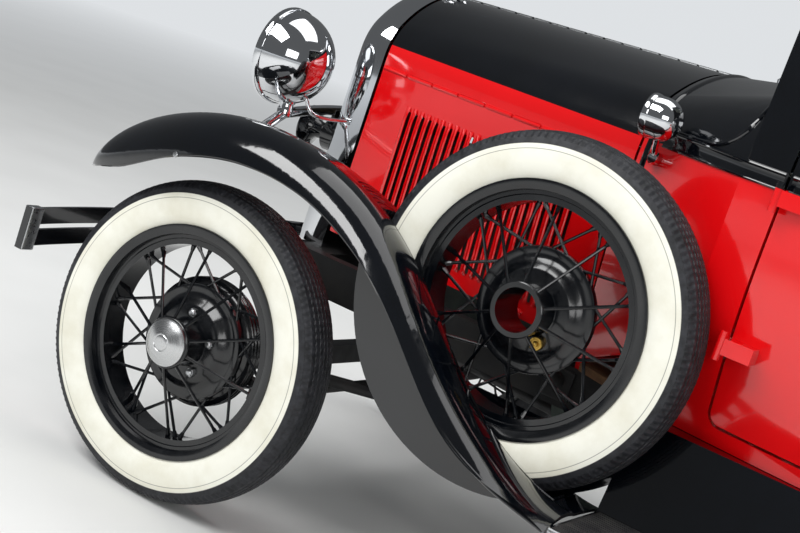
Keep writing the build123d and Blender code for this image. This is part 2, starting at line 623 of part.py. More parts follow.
def louvres():
    """Raised louvres on the left hood side."""
    pitch = (LOUVRE_FIRST - LOUVRE_LAST) / (LOUVRE_COUNT - 1)
    made = []
    for k in range(LOUVRE_COUNT):
        x = LOUVRE_FIRST - k * pitch
        y0 = hood_side_y(x, LOUVRE_FOOT_Z)
        y1 = hood_side_y(x, LOUVRE_HEAD_Z)
        middle = hood_side_y(x, (LOUVRE_FOOT_Z + LOUVRE_HEAD_Z) / 2)
        reach = LOUVRE_RISE
        inner = Wire([ThreePointArc((y0 - 2, LOUVRE_FOOT_Z), (middle - 2, (LOUVRE_FOOT_Z + LOUVRE_HEAD_Z) / 2), (y1 - 2, LOUVRE_HEAD_Z)),
                      Line((y1 - 2, LOUVRE_HEAD_Z), (y1 + reach, LOUVRE_HEAD_Z - 12)),
                      ThreePointArc((y1 + reach, LOUVRE_HEAD_Z - 12), (middle + reach, (LOUVRE_FOOT_Z + LOUVRE_HEAD_Z) / 2),
                                    (y0 + reach, LOUVRE_FOOT_Z + 12)),
                      Line((y0 + reach, LOUVRE_FOOT_Z + 12), (y0 - 2, LOUVRE_FOOT_Z))])
        made.append(front_prism(inner, x - LOUVRE_WIDTH / 2, x + LOUVRE_WIDTH / 2))
    return made


def barrels(start, end, radius, share, count):
    """Hinge barrels along a line: every second one of count spans, from share 0 or 1."""
    start, end = Vector(*start), Vector(*end)
    along = end - start
    made = []
    for k in range(share, count, 2):
        a, b = start + along * ((k + 0.04) / count), start + along * ((k + 0.96) / count)
        made.append(rod(tuple(a), tuple(b), radius))
    return made


def make_hood():
    """Two top halves on the centre rod, and two side panels that hang from them."""
    shell = hood_solid(0, HOOD_FOOT_Z) - hood_solid(SHEET, HOOD_FOOT_Z - 50, HOOD_FRONT + 1, HOOD_REAR - 1)
    half_gap = PANEL_GAP / 2
    front, rear = HOOD_FRONT - half_gap, HOOD_REAR + half_gap
    edge = HINGE_ROD_RADIUS + 4
    upper = shell & block(rear, front, edge, 600, HOOD_HINGE_Z + half_gap, 1500)
    lower = shell & block(rear, front, 0, 600, 500, HOOD_HINGE_Z - half_gap)
    # Centre hinge: the left half holds the even barrels and the right half the odd ones
    centre = [(HOOD_FRONT, 0, HOOD_FRONT_TOP - HINGE_ROD_DROP), (HOOD_REAR, 0, COWL_FRONT_TOP - HINGE_ROD_DROP)]
    reach = HINGE_ROD_RADIUS * 2
    bore = rod(*centre, HINGE_ROD_RADIUS + PIN_CLEARANCE)
    trim = block(rear, front, -600, 600, 500, 1500)
    # Bevel that lets both halves stand open together
    bevel = loft([station_face(Wire(Polyline((0, z), (90, z + 90 * BEVEL_SLOPE), (0, z + 90), close=True)), x) for x, _, z in centre])
    upper = upper - bevel
    tops = []
    for share in (0, 1):
        own = barrels(*centre, reach, share, CENTRE_BARRELS)
        other = barrels(*centre, reach + 0.6, 1 - share, CENTRE_BARRELS)
        tops.append(((upper - other) + own - bore) & trim)
    # Side hinge: the pin and the even barrels are the top's
    half_sheet = SHEET / 2
    side = [(x, hood_side_y(x, HOOD_HINGE_Z) - half_sheet, HOOD_HINGE_Z) for x in (front, rear)]
    pin = rod(*side, SIDE_PIN_RADIUS)
    pin_bore = rod(*side, SIDE_PIN_RADIUS + PIN_CLEARANCE)
    even = barrels(*side, SIDE_BARREL_RADIUS, 0, SIDE_BARRELS)
    odd = barrels(*side, SIDE_BARREL_RADIUS, 1, SIDE_BARRELS)
    even_space = barrels(*side, SIDE_BARREL_RADIUS + 0.6, 0, SIDE_BARRELS)
    odd_space = barrels(*side, SIDE_BARREL_RADIUS + 0.6, 1, SIDE_BARRELS)
    for name, top, flip in (("left", tops[0], False), ("right", tops[1], True)):
        top = (top - odd_space + even + pin) & trim
        save(f"hood_top_{name}", mirror(top, Plane.XZ) if flip else top)
    panel = ((lower - even_space) + odd - pin_bore) & trim
    panel = panel + louvres()
    save("hood_side_left", panel)
    save("hood_side_right", mirror(panel, Plane.XZ))
    start, end = Vector(*centre[0]), Vector(*centre[1])
    overrun = (end - start) * 0.02
    hinge = rod(tuple(start - overrun), tuple(end + overrun), HINGE_ROD_RADIUS)
    hinge &= block(HOOD_REAR - half_gap, SHELL_REAR, -50, 50, 1000, 1500)
    save("hood_hinge", hinge)


COWL_REAR_TOP = 1350
COWL_REAR_SHOULDER = 150


def cowl_section(part, inset, foot):
    """Cowl section between its front, at 0, and the pillar, at 1."""
    def mix(a, b):
        return a + (b - a) * part
    width = mix(COWL_FRONT_WIDTH, BODY_STATIONS[0][1])
    tuck = mix(COWL_FRONT_TUCK, BODY_STATIONS[0][2])
    widest = mix(HOOD_HINGE_Z, WIDEST_Z)
    return arch(width - inset, tuck, foot, widest, mix(HOOD_SHOULDER_Z, BELT_Z + 20), mix(COWL_FRONT_TOP, COWL_REAR_TOP) - inset,
                mix(COWL_FRONT_SHOULDER, COWL_REAR_SHOULDER) - inset)


def cowl_outer(inset=0, foot=BODY_FOOT_Z, x0=HOOD_REAR - PANEL_GAP / 2, x1=PILLAR_FRONT):
    return loft([station_face(cowl_section(0, inset, foot), x0), station_face(cowl_section(1, inset, foot), x1)], ruled=True)


# Cabin

def side_section(width, tuck, lean, foot, top):
    """Body side from foot to roof rail, closed across."""
    middle = (width - tuck * 0.25, (foot + WIDEST_Z) / 2)
    head = width - lean * (top - BELT_Z) / (HEADER_Z - BELT_Z)
    return Wire([
        ThreePointArc((width - tuck, foot), middle, (width, WIDEST_Z)), Line((width, WIDEST_Z), (width, BELT_Z)),
        Line((width, BELT_Z), (head, top)), Line((head, top), (-head, top)), Line((-head, top), (-width, BELT_Z)),
        Line((-width, BELT_Z), (-width, WIDEST_Z)),
        ThreePointArc((-width, WIDEST_Z), (-middle[0], middle[1]), (tuck - width, foot)), Line((tuck - width, foot), (width - tuck, foot)),
    ])


def back_outline(x, half, corner, z):
    """A level outline of the body, open ahead and round at its two rear corners."""
    slant = corner * (1 - sqrt(0.5))
    edges = [
        Line((0, -half), (0, half)), Line((0, half), (x + corner, half)),
        ThreePointArc((x + corner, half), (x + slant, half - slant), (x, half - corner)),
        Line((x, half - corner), (x, corner - half)),
        ThreePointArc((x, corner - half), (x + slant, slant - half), (x + corner, -half)),
        Line((x + corner, -half), (0, -half)),
    ]
    return Plane.XY.offset(z) * make_face(Wire(edges))


BACK_LEVELS = [
    # z, how far the back leans forward, half width where the corner starts
    (400, 46, 512), (BODY_FOOT_Z, 30, 548), (780, 12, 596), (WIDEST_Z, 2, 614), (BELT_Z, 0, 614), (HEADER_Z, 62, 549),
    (HEADER_Z + 240, 90, 520),
]


def back_trim(inset, corner):
    """The space within the body's back, as level outlines joined by straight walls."""
    faces = [back_outline(BACK_X + lean + inset, half + 2 - inset, corner, z) for z, lean, half in BACK_LEVELS]
    rear = loft(faces, ruled=True) & block(BACK_X - 50, BACK_X + corner + 62 + inset, -800, 800, 400, 2000)
    return rear + block(BACK_X + corner + 62 + inset, 0, -800, 800, 400, 2000)


def body_solid(inset, foot, top, x0=PILLAR_FRONT):
    faces = []
    for x, width, tuck, lean in BODY_STATIONS:
        station = min(x, x0)
        faces.append(station_face(side_section(width - inset, tuck, lean, foot, top), station))
    smooth = loft(faces)
    return smooth & back_trim(inset, BACK_CORNER_RADIUS - inset * 0.5)


def roof_solid(inset, foot):
    """Roof between the header and the back, rounded down at both ends."""
    faces = []
    for x, width, tuck, lean in BODY_STATIONS:
        half = width - lean - inset
        crown = ROOF_TOP_Z - inset - 26 * abs((x + 1950) / 1250) ** 2
        faces.append(station_face(arch(half, 0.5, foot, HEADER_Z + 6, HEADER_Z + 12, crown, 74 - inset), x))
    smooth = loft(faces)
    back = BACK_X + 58 + inset
    ends = side_prism(Wire([
        Line((PILLAR_FRONT - 8 - inset, foot - 20), (PILLAR_FRONT - 8 - inset, HEADER_Z + 20)),
        ThreePointArc((PILLAR_FRONT - 8 - inset, HEADER_Z + 20), (PILLAR_FRONT - 40 - inset, HEADER_Z + 72), (PILLAR_FRONT - 150, 2000)),
        Line((PILLAR_FRONT - 150, 2000), (back + 330, 2000)),
        ThreePointArc((back + 330, 2000), (back + 85, HEADER_Z + 84), (back, HEADER_Z)),
        Line((back, HEADER_Z), (back, foot - 20)), Line((back, foot - 20), (PILLAR_FRONT - 8 - inset, foot - 20)),
    ]), -800, 800)
    return smooth & ends & back_trim(inset, BACK_CORNER_RADIUS - inset * 0.5)


WINDOWS = [
    # name, front, rear
    ("door", DOOR_FRONT - 62, DOOR_REAR + 62),
    ("quarter", DOOR_REAR - 90, -2880),
]


def make_body():
    outer = body_solid(0, BODY_FOOT_Z, HEADER_Z)
    inner = body_solid(WALL, BODY_FOOT_Z - 100, HEADER_Z + 50, PILLAR_FRONT - WALL)
    shell = outer - inner
    # Openings for the windows, the windshield, the back light and the doors
    for name, front, rear in WINDOWS:
        shell -= side_prism(rounded(rear, front, WINDOW_SILL_Z, WINDOW_HEAD_Z, 40), -800, 800)
    shell -= front_prism(rounded(-330, 330, 1260, 1520, 50), BACK_X - 60, BACK_X + 200)
    shield = 577 - 60
    shell -= front_prism(rounded(-shield + 20, shield - 20, COWL_REAR_TOP + 14, DOOR_HEAD_Z - 10, 20), PILLAR_FRONT - WALL - 30, PILLAR_FRONT + 20)
    shell -= block(PILLAR_FRONT - WALL - 20, PILLAR_FRONT + 20, -480, 480, 300, 1085)
    gap = PANEL_GAP
    hole = side_prism(rounded(DOOR_REAR - gap - 2, DOOR_FRONT + gap, DOOR_FOOT_Z - gap, DOOR_HEAD_Z + gap, 30), -800, 800)
    leaf = side_prism(rounded(DOOR_REAR, DOOR_FRONT, DOOR_FOOT_Z, DOOR_HEAD_Z, 24), 0, 800)
    split_x = DOOR_FRONT + gap
    front_part = (shell - hole) & block(split_x, 0, -800, 800, 300, 1900)
    rear_part = (shell - hole) & block(BACK_X - 100, split_x, -800, 800, 300, 1900)
    cowl = cowl_outer() - cowl_outer(SHEET * 2, BODY_FOOT_Z - 60, HOOD_REAR - 18, PILLAR_FRONT - 1)
    column_hole = rod(COLUMN_FOOT, STEERING_WHEEL_CENTRE, COLUMN_RADIUS + RUNNING_CLEARANCE)
    cowl = cowl - block(-1300, PILLAR_FRONT, -800, 800, 0, 2000)
    save("cowl", cowl - column_hole + (front_part - column_hole))
    save("body_tub", rear_part)
    door = shell & leaf
    for side, label in ((1, "left"), (-1, "right")):
        one = door
        for level in HINGE_LEVELS:
            barrel = rod((HINGE_PIN_X, HINGE_PIN_Y, level - HINGE_BARREL_LENGTH / 2),
                         (HINGE_PIN_X, HINGE_PIN_Y, level + HINGE_BARREL_LENGTH / 2), HINGE_BARREL_RADIUS)
            strap = block(DOOR_FRONT - 60, HINGE_PIN_X, 560, HINGE_PIN_Y + 4, level - 16, level + 16)
            strap -= body_solid(0, BODY_FOOT_Z, HEADER_Z)
            one = one + barrel + (strap & block(DOOR_FRONT - 60, HINGE_PIN_X, 500, 700, level - 16, level + 16))
        handle = rod((DOOR_REAR + 90, 640, 1080), (DOOR_REAR + 90, 690, 1080), 8) + block(DOOR_REAR + 82, DOOR_REAR + 190, 682, 694, 1070, 1090)
        one = one + handle
        save(f"door_{label}", one if side > 0 else mirror(one, Plane.XZ))
    roof = roof_solid(0, HEADER_Z) - roof_solid(24, HEADER_Z - 60)
    save("roof", roof)

    # Glass, each pane as its own solid in the wall's middle
    pane_zone = body_solid(WALL / 2 - GLASS / 2, BODY_FOOT_Z, HEADER_Z) - body_solid(WALL / 2 + GLASS / 2, BODY_FOOT_Z - 100, HEADER_Z + 50,
                                                                                PILLAR_FRONT - WALL / 2 - GLASS / 2)
    side_panes = {name: pane_zone & side_prism(rounded(rear, front, WINDOW_SILL_Z, WINDOW_HEAD_Z, 40), 0, 800)
                  for name, front, rear in WINDOWS}
    save("door_glass_left", side_panes["door"])
    save("door_glass_right", mirror(side_panes["door"], Plane.XZ))
    back_pane = front_prism(rounded(-330, 330, 1260, 1520, 50), BACK_X - 60, BACK_X + 200) & pane_zone
    shield_pane = front_prism(rounded(-shield + 45, shield - 45, COWL_REAR_TOP + 39, DOOR_HEAD_Z - 35, 12), PILLAR_FRONT - 24, PILLAR_FRONT - 18)
    save("fixed_glass", both_sides(side_panes["quarter"]) + back_pane + shield_pane)
    frame = front_prism(rounded(-shield + 20, shield - 20, COWL_REAR_TOP + 14, DOOR_HEAD_Z - 10, 20), PILLAR_FRONT - 32, PILLAR_FRONT - 10)
    frame -= front_prism(rounded(-shield + 45, shield - 45, COWL_REAR_TOP + 39, DOOR_HEAD_Z - 35, 12), PILLAR_FRONT - 40, PILLAR_FRONT)
    save("windshield_frame", frame)

    floor = body_solid(WALL + RUNNING_CLEARANCE, BODY_FOOT_Z - 100, HEADER_Z, PILLAR_FRONT - WALL) & block(BACK_X, DOOR_FRONT + 100, -800, 800, FRAME_TOP, FRAME_TOP + 18)
    toe = cowl_outer(SHEET * 2 + RUNNING_CLEARANCE, BODY_FOOT_Z - 60) & block(PILLAR_FRONT - 2, HOOD_REAR - 20, -800, 800, FRAME_TOP, FRAME_TOP + 18)
    sill = block(PILLAR_FRONT - WALL, PILLAR_FRONT + 2, -470, 470, FRAME_TOP, FRAME_TOP + 18)
    save("floor", floor + toe + sill)


def make_interior():
    floor = FRAME_TOP + 18
    seats = []
    for y in (290, -290):
        cushion = block(-2030, -1570, y - 235, y + 235, floor + 120, floor + 300)
        back = side_prism(Polyline((-2010, floor + 300), (-1900, floor + 300), (-2030, floor + 760), (-2120, floor + 760), close=True),
                          y - 235, y + 235)
        seats.append(cushion + back + block(-1990, -1610, y - 200, y + 200, floor, floor + 120))
    save("front_seats", seats[0] + seats[1])
    bench = block(-3030, -2560, -490, 490, floor, floor + 300)
    back = side_prism(Polyline((-3020, floor + 300), (-2910, floor + 300), (-3010, floor + 760), (-3100, floor + 760), close=True), -460, 460)
    save("rear_seat", bench + back)
    foot, head = Vector(*COLUMN_FOOT), Vector(*STEERING_WHEEL_CENTRE)
    along = (head - foot).normalized()
    end = head - along * 40
    column = rod(tuple(foot), tuple(end), COLUMN_RADIUS)
    box = block(foot.X - 40, foot.X + 50, foot.Y - 30, foot.Y + 38, FRAME_TOP + RUNNING_CLEARANCE, FRAME_TOP + 100)
    save("steering_column", column + box)
    plane = Plane(origin=head, z_dir=along)
    wheel = plane * Torus(STEERING_WHEEL_RADIUS, 12)
    for k in range(4):
        angle = pi / 4 + k * pi / 2
        reach = STEERING_WHEEL_RADIUS - 4
        tip = plane.from_local_coords(Vector(reach * cos(angle), reach * sin(angle), 0))
        wheel += rod(tuple(head), tuple(tip), 9)
    wheel += rod(tuple(head - along * (40 - RUNNING_CLEARANCE)), tuple(head + along * 16), 34)
    save("steering_wheel", wheel)


# Fenders

FRONT_WING = [
    # x, crown z, crown y, lip z, lip y, inner edge z, inner edge y
    (386, 668, 706, 646, 742, 652, 668),
    (340, 742, 712, 660, 782, 688, 622),
    (250, 810, 718, 688, 812, 750, 594),
    (91, 866, 720, 762, 842, 824, FENDER_INNER_Y),
    (-82, 882, 720, 802, FENDER_HALF_WIDTH, 846, FENDER_INNER_Y),
    (-260, 852, 720, 788, FENDER_HALF_WIDTH, 824, FENDER_INNER_Y),
    (-431, 772, 720, 714, FENDER_HALF_WIDTH, 748, FENDER_INNER_Y),
    (-560, 662, 720, 612, FENDER_HALF_WIDTH, 640, FENDER_INNER_Y),
    (-690, 540, 720, 492, FENDER_HALF_WIDTH, 520, FENDER_INNER_Y),
    (-831, 450, 720, 424, FENDER_HALF_WIDTH, 436, FENDER_INNER_Y),
    (BOARD_FRONT + RUNNING_CLEARANCE, 411, 720, 388, FENDER_HALF_WIDTH - 2, 404, FENDER_INNER_Y),
]

REAR_WING = [
    # the same columns, counted from the rear axle
    (WHEELBASE + BOARD_REAR - RUNNING_CLEARANCE, 424, 730, 388, FENDER_HALF_WIDTH - 2, 410, FENDER_INNER_Y),
    (440, 520, 730, 470, FENDER_HALF_WIDTH, 505, FENDER_INNER_Y),
    (360, 668, 730, 600, FENDER_HALF_WIDTH, 655, FENDER_INNER_Y),
    (220, 786, 730, 712, FENDER_HALF_WIDTH, 772, FENDER_INNER_Y),
    (20, 838, 730, 762, FENDER_HALF_WIDTH, 824, FENDER_INNER_Y),
    (-180, 804, 730, 730, FENDER_HALF_WIDTH, 790, FENDER_INNER_Y),
    (-340, 690, 730, 622, FENDER_HALF_WIDTH, 676, FENDER_INNER_Y),
    (-440, 548, 728, 496, FENDER_HALF_WIDTH - 14, 534, FENDER_INNER_Y + 4),
    (-490, 430, 722, 404, FENDER_HALF_WIDTH - 40, 420, FENDER_INNER_Y + 20),
]


def wing_section(crown_z, crown_y, lip_z, lip_y, inner_z, inner_y, thickness, base=None):
    """A fender's section at a station: a drooping lip, a crown and an inner edge."""
    t = thickness
    swell = (lip_y - (lip_y - crown_y) * 0.18, crown_z - (crown_z - lip_z) * 0.36)
    ease = ((crown_y + inner_y) / 2, crown_z - (crown_z - inner_z) * 0.30)
    outside = [ThreePointArc((lip_y, lip_z), swell, (crown_y, crown_z)),
               ThreePointArc((crown_y, crown_z), ease, (inner_y, inner_z))]
    if base is not None:
        return Wire(outside + [Line((inner_y, inner_z), (inner_y, base)), Line((inner_y, base), (lip_y, base)),
                               Line((lip_y, base), (lip_y, lip_z))])
    inside = [ThreePointArc((inner_y, inner_z - t), (ease[0], ease[1] - t), (crown_y, crown_z - t)),
              ThreePointArc((crown_y, crown_z - t), (swell[0] - t * 0.8, swell[1] - t * 0.8), (lip_y - t, lip_z))]
    return Wire(outside + [Line((inner_y, inner_z), (inner_y, inner_z - t))] + inside + [Line((lip_y - t, lip_z), (lip_y, lip_z))])


def wing(table, offset, base=None, thickness=SHEET):
    """A fender lofted through its stations, as a sheet or as the solid beneath it."""
    return loft([station_face(wing_section(*row[1:], thickness, base), row[0] + offset) for row in table])


def front_fender():
    """Left front fender: crowned wing, inner valance to the frame and the spare's well."""
    sheet = wing(FRONT_WING, 0, thickness=SHEET + 2)
    x, y, z = SPARE_CENTRE
    well_radius = TYRE_RADIUS + WELL_CLEARANCE
    half = TYRE_HALF_WIDTH + WELL_CLEARANCE
    tyre_space = rod((x, y - half, z), (x, y + half, z), well_radius)
    bowl = rod((x, y - half - SHEET, z), (x, y + half + SHEET, z), well_radius + SHEET)
    under = wing(FRONT_WING[4:], 0, base=300)
    tub = (bowl - tyre_space) & (under + block(BOARD_FRONT + RUNNING_CLEARANCE, 0, y - half - SHEET - 1, FENDER_INNER_Y, 300, 520))
    return sheet - bowl + tub


def valance():
    """Inner panel that closes the arch from the wing's inner edge down to the frame."""
    outer, inner = FENDER_INNER_Y, RAIL_Y + RAIL_WIDTH / 2 + RUNNING_CLEARANCE
    t = SHEET
    strip = front_prism(Wire([
        Line((outer, 838), (inner, FRAME_TOP)), Line((inner, FRAME_TOP), (inner, FRAME_TOP - t * 3)),
        Line((inner, FRAME_TOP - t * 3), (outer, 838 - t * 3)), Line((outer, 838 - t * 3), (outer, 838)),
    ]), -980, 330)
    return strip


def rear_fender():
    """Left rear fender: a crowned wing round the wheel, closed against the body."""
    return wing(REAR_WING, -WHEELBASE, thickness=SHEET + 2) - body_solid(0, BODY_FOOT_Z, HEADER_Z)


def make_fenders():
    left = front_fender()
    save("front_fender_left", left)
    save("front_fender_right", mirror(left, Plane.XZ))
    rear = rear_fender()
    save("rear_fenders", both_sides(rear))
    board = block(BOARD_REAR, BOARD_FRONT, FENDER_INNER_Y, FENDER_HALF_WIDTH - 6, BOARD_Z - BOARD_THICKNESS, BOARD_Z)
    apron = front_prism(Polyline((596, BOARD_Z - 2), (602, BOARD_Z - 2), (556, FRAME_TOP - 1), (RAIL_Y + RAIL_WIDTH / 2 + 1, FRAME_TOP - 1),
                                 (RAIL_Y + RAIL_WIDTH / 2 + 1, FRAME_TOP - 5), (552, FRAME_TOP - 5), close=True), BOARD_REAR, BOARD_FRONT)
    save("running_boards", both_sides(board + apron))


def make_spare_mounts():
    """An arm from each frame rail to a plate behind the spare's hub, with a stud and lock nut."""
    x, y, z = SPARE_CENTRE
    rail_side = RAIL_Y + RAIL_WIDTH / 2
    back = y - 26 - RUNNING_CLEARANCE
    mount = rod((x, back - 8, z), (x, back, z), HUB_DISH_RADIUS - 14)
    mount += rod((x, back - 4, z), (x, rail_side + 4, FRAME_TOP - 40), 16)
    mount += block(x - 34, x + 34, rail_side, rail_side + 10, FRAME_TOP - 80, FRAME_TOP - 10)
    angle = 2 * pi * SPARE_STUD_LUG / LUG_COUNT
    stud = (x + LUG_CIRCLE_RADIUS * sin(angle), z + LUG_CIRCLE_RADIUS * cos(angle))
    mount += rod((stud[0], back - 4, stud[1]), (stud[0], y + 2, stud[1]), LUG_HOLE_RADIUS - 1)
    mount += rod((stud[0], y - 14 + RUNNING_CLEARANCE, stud[1]), (stud[0], y, stud[1]), LUG_NUT_RADIUS)
    mount -= block(x - 200, x + 200, rail_side - 60, rail_side, 400, 800)
    save("spare_mounts", both_sides(mount))


def make_rear_lamps():
    """Two tail lamps on arms from the back panel, the left one with the plate's bracket."""
    x, y, z = TAIL_LAMP_CENTRE
    lamp = revolved([(0, 0), (6, 30), (26, 44), (64, 44), (66, 38), (72, 24), (74, 0)], (x, y, z), (-1, 0, 0))
    lamp += rod((x - 30, y, z), (BACK_X + 50, y - 60, z), 9)
    lamp -= body_solid(0, BODY_FOOT_Z, HEADER_Z)
    lamps = both_sides(lamp)
    plate = block(x - 24, x - 20, y - 160, y + 160, z - 190, z - 60)
    plate += block(x - 24, x - 14, y - 14, y + 14, z - 90, z - 20)
    for offset in (-PLATE_HOLE_PITCH / 2, PLATE_HOLE_PITCH / 2):
        plate -= rod((x - 60, y + offset, z - 80), (x, y + offset, z - 80), 3.5)
    save("rear_lamps", lamps + plate)


def main():
    make_wheels()
    make_steering()
    make_axles()
    make_chassis()
    make_front()
    make_bumpers()
    make_hood()
    make_body()
    make_interior()
    make_fenders()
    make_spare_mounts()
    make_rear_lamps()


if __name__ == "__main__":
    main()
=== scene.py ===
"""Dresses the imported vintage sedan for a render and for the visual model.

Metres, in the frame of the CAD model: X forward, Y to the car's left, Z up, ground at z = 0.
Places are worked out in millimetres from the front axle, as on the car's drawing, and in_metres()
turns them into the frame of the model when a mesh is made.
"""
from math import atan2, cos, pi, radians, sin

import bmesh
import bpy
import numpy as np
from bpy.props import FloatProperty, FloatVectorProperty, IntProperty, PointerProperty
from mathutils import Matrix, Vector
from mathutils.bvhtree import BVHTree


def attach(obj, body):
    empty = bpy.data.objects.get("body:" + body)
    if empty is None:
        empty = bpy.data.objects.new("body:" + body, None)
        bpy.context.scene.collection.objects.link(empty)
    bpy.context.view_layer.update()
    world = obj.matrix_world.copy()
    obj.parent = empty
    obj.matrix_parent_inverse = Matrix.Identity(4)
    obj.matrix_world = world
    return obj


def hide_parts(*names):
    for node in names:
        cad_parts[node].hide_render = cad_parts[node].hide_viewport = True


bl_info = {
    "name": "Vintage Sedan Dressing",
    "version": (1, 0, 0),
    "blender": (4, 5, 0),
    "location": "3D View > Sidebar > Sedan",
    "description": "Tyres, trim, glass, paint, seats and studio for the vintage sedan",
    "category": "Object",
}

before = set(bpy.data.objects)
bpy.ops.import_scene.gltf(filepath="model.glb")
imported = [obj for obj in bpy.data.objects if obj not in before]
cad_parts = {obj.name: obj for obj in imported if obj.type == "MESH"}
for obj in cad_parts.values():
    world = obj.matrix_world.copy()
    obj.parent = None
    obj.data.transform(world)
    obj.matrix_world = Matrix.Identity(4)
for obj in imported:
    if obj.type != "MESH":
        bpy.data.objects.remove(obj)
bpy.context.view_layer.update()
MM = 0.001
AXLE_TO_ORIGIN = 1529.5
SIDES = (("left", 1), ("right", -1))
ALONG, ACROSS, UP = (1, 0, 0), (0, 1, 0), (0, 0, 1)


# Places, colours and nodes

def in_metres(places):
    """Drawing places, in millimetres from the front axle, as metres in the car's frame."""
    return (np.asarray(places, float) + (AXLE_TO_ORIGIN, 0, 0)) * MM


def linear(code):
    """An sRGB hex colour as linear red, green and blue, by the standard two-part curve."""
    value = np.array([int(code[i:i + 2], 16) for i in (0, 2, 4)]) / 255
    low, high = value / 12.92, ((value + 0.055) / 1.055) ** 2.4
    return tuple(float(v) for v in np.where(value <= 0.04045, low, high))


def rgba(colour):
    """A linear colour or an sRGB hex code, with full opacity."""
    if isinstance(colour, str):
        colour = linear(colour)
    return (*tuple(colour)[:3], 1.0)


def add_node(tree, kind, settings=None, links=None):
    """Adds one shader node. settings gives properties by name and input values by number or name in inputs;
    links gives the sockets that feed its inputs."""
    made = tree.nodes.new(kind)
    for key, value in (settings or {}).items():
        if isinstance(key, int) or key in made.inputs and not hasattr(made, str(key)):
            made.inputs[key].default_value = value
        else:
            setattr(made, key, value)
    for key, socket in (links or {}).items():
        tree.links.new(socket, made.inputs[key])
    return made


def clouds(scale, detail=2.0, roughness=0.5, stretch=(1, 1, 1)):
    """A pattern of cloudy noise from 0 to 1; scale is how many clouds fit in a metre. Every pattern is a
    texture node's kind, its settings and its stretch along the surface's own coordinates."""
    return "ShaderNodeTexNoise", {"Scale": scale, "Detail": detail, "Roughness": roughness}, stretch


def pebbles(scale, stretch=(1, 1, 1)):
    """A pattern of cells as in leather grain, so many to a metre."""
    return "ShaderNodeTexVoronoi", {"Scale": scale}, stretch


def flutes(width, direction, distortion=0.0):
    """A pattern of even waves, each so many metres wide. A wave node at scale 1 has one in 0.314 m."""
    return "ShaderNodeTexWave", {"bands_direction": direction, "Scale": 0.314 / width,
                                 "Distortion": distortion}, (1, 1, 1)


def strength(tree, pattern, source="Object"):
    """A pattern's value over the surface's own coordinates, or over its UV map."""
    kind, settings, stretch = pattern
    coordinate = add_node(tree, "ShaderNodeTexCoord")
    place = add_node(tree, "ShaderNodeMapping", {"Scale": stretch}, {"Vector": coordinate.outputs[source]})
    made = add_node(tree, kind, settings, {"Vector": place.outputs["Vector"]})
    return made.outputs["Distance" if kind == "ShaderNodeTexVoronoi" else "Fac"]


def tones(tree, factor, stops):
    """The colour that runs through stops of (position, colour) as a factor goes from 0 to 1."""
    made = add_node(tree, "ShaderNodeValToRGB", None, {"Fac": factor})
    band = made.color_ramp
    while len(band.elements) < len(stops):
        band.elements.new(0.5)
    for element, (position, colour) in zip(band.elements, stops):
        element.position = position
        element.color = rgba(colour)
    return made.outputs["Color"]


def surface(name, base, tone=None, rough=None, relief=None, source="Object", **values):
    """A node material with its shader's own sockets set by values. tone is (pattern, stops) for its colour,
    rough is (pattern, low, high) for its roughness, and relief is (pattern, strength, distance in metres)
    for the height that turns its normal."""
    made = bpy.data.materials.new(name)
    made.use_nodes = True
    made.diffuse_color = rgba(base)
    tree = made.node_tree
    shader = tree.nodes["Principled BSDF"]
    shader.inputs["Base Color"].default_value = rgba(base)
    for key, value in values.items():
        shader.inputs[key.replace("_", " ").title().replace("Ior", "IOR")].default_value = value
    if tone:
        pattern, stops = tone
        tree.links.new(tones(tree, strength(tree, pattern, source), stops), shader.inputs["Base Color"])
    if rough:
        pattern, low, high = rough
        span = add_node(tree, "ShaderNodeMapRange", {"To Min": low, "To Max": high},
                        {"Value": strength(tree, pattern, source)})
        tree.links.new(span.outputs["Result"], shader.inputs["Roughness"])
    if relief:
        pattern, steepness, distance = relief
        height = add_node(tree, "ShaderNodeBump", {"Strength": steepness, "Distance": distance},
                          {"Height": strength(tree, pattern, source)})
        tree.links.new(height.outputs["Normal"], shader.inputs["Normal"])
    return tree, shader


def blended(tree, factor, first, second):
    """The mix of two colour sockets."""
    made = add_node(tree, "ShaderNodeMix", {"data_type": "RGBA"}, {0: factor, 6: first, 7: second})
    return made.outputs[2]


# Shapes: each is (points in drawing millimetres, faces as a list of index arrays of one length each)

def grid_faces(rows, columns, wrap_rows=False, wrap_columns=False):
    """Four-sided faces between the lines of a grid of points; a wrapped side joins its last line to its
    first."""
    r, c = np.meshgrid(np.arange(rows if wrap_rows else rows - 1),
                       np.arange(columns if wrap_columns else columns - 1), indexing="ij")
    up, right = (r + 1) % rows, (c + 1) % columns
    corners = [r * columns + c, up * columns + c, up * columns + right, r * columns + right]
    return np.stack(corners, -1).reshape(-1, 4)


def joined(*shapes):
    """Several shapes as one."""
    start, points, faces = 0, [], []
    for p, f in shapes:
        points.append(p)
        faces += [part + start for part in f]
        start += len(p)
    return np.concatenate(points), faces


def placed(shape, origin, along=(1, 0, 0), up=(0, 0, 1)):
    """A shape drawn on X, Y and Z, moved so that X points along, Z near up, and its zero lies at origin."""
    x = np.array(along, float) / np.linalg.norm(along)
    y = np.cross(np.array(up, float), x)
    y /= np.linalg.norm(y)
    turn = np.stack([x, y, np.cross(x, y)])
    return shape[0] @ turn + np.array(origin), shape[1]


def mirrored(shape):
    """The shape on the car's other side, with its faces turned back outwards."""
    return shape[0] * np.array([1, -1, 1]), [f[:, ::-1] for f in shape[1]]


def both(shape):
    """The shape and its mirror image."""
    return joined(shape, mirrored(shape))


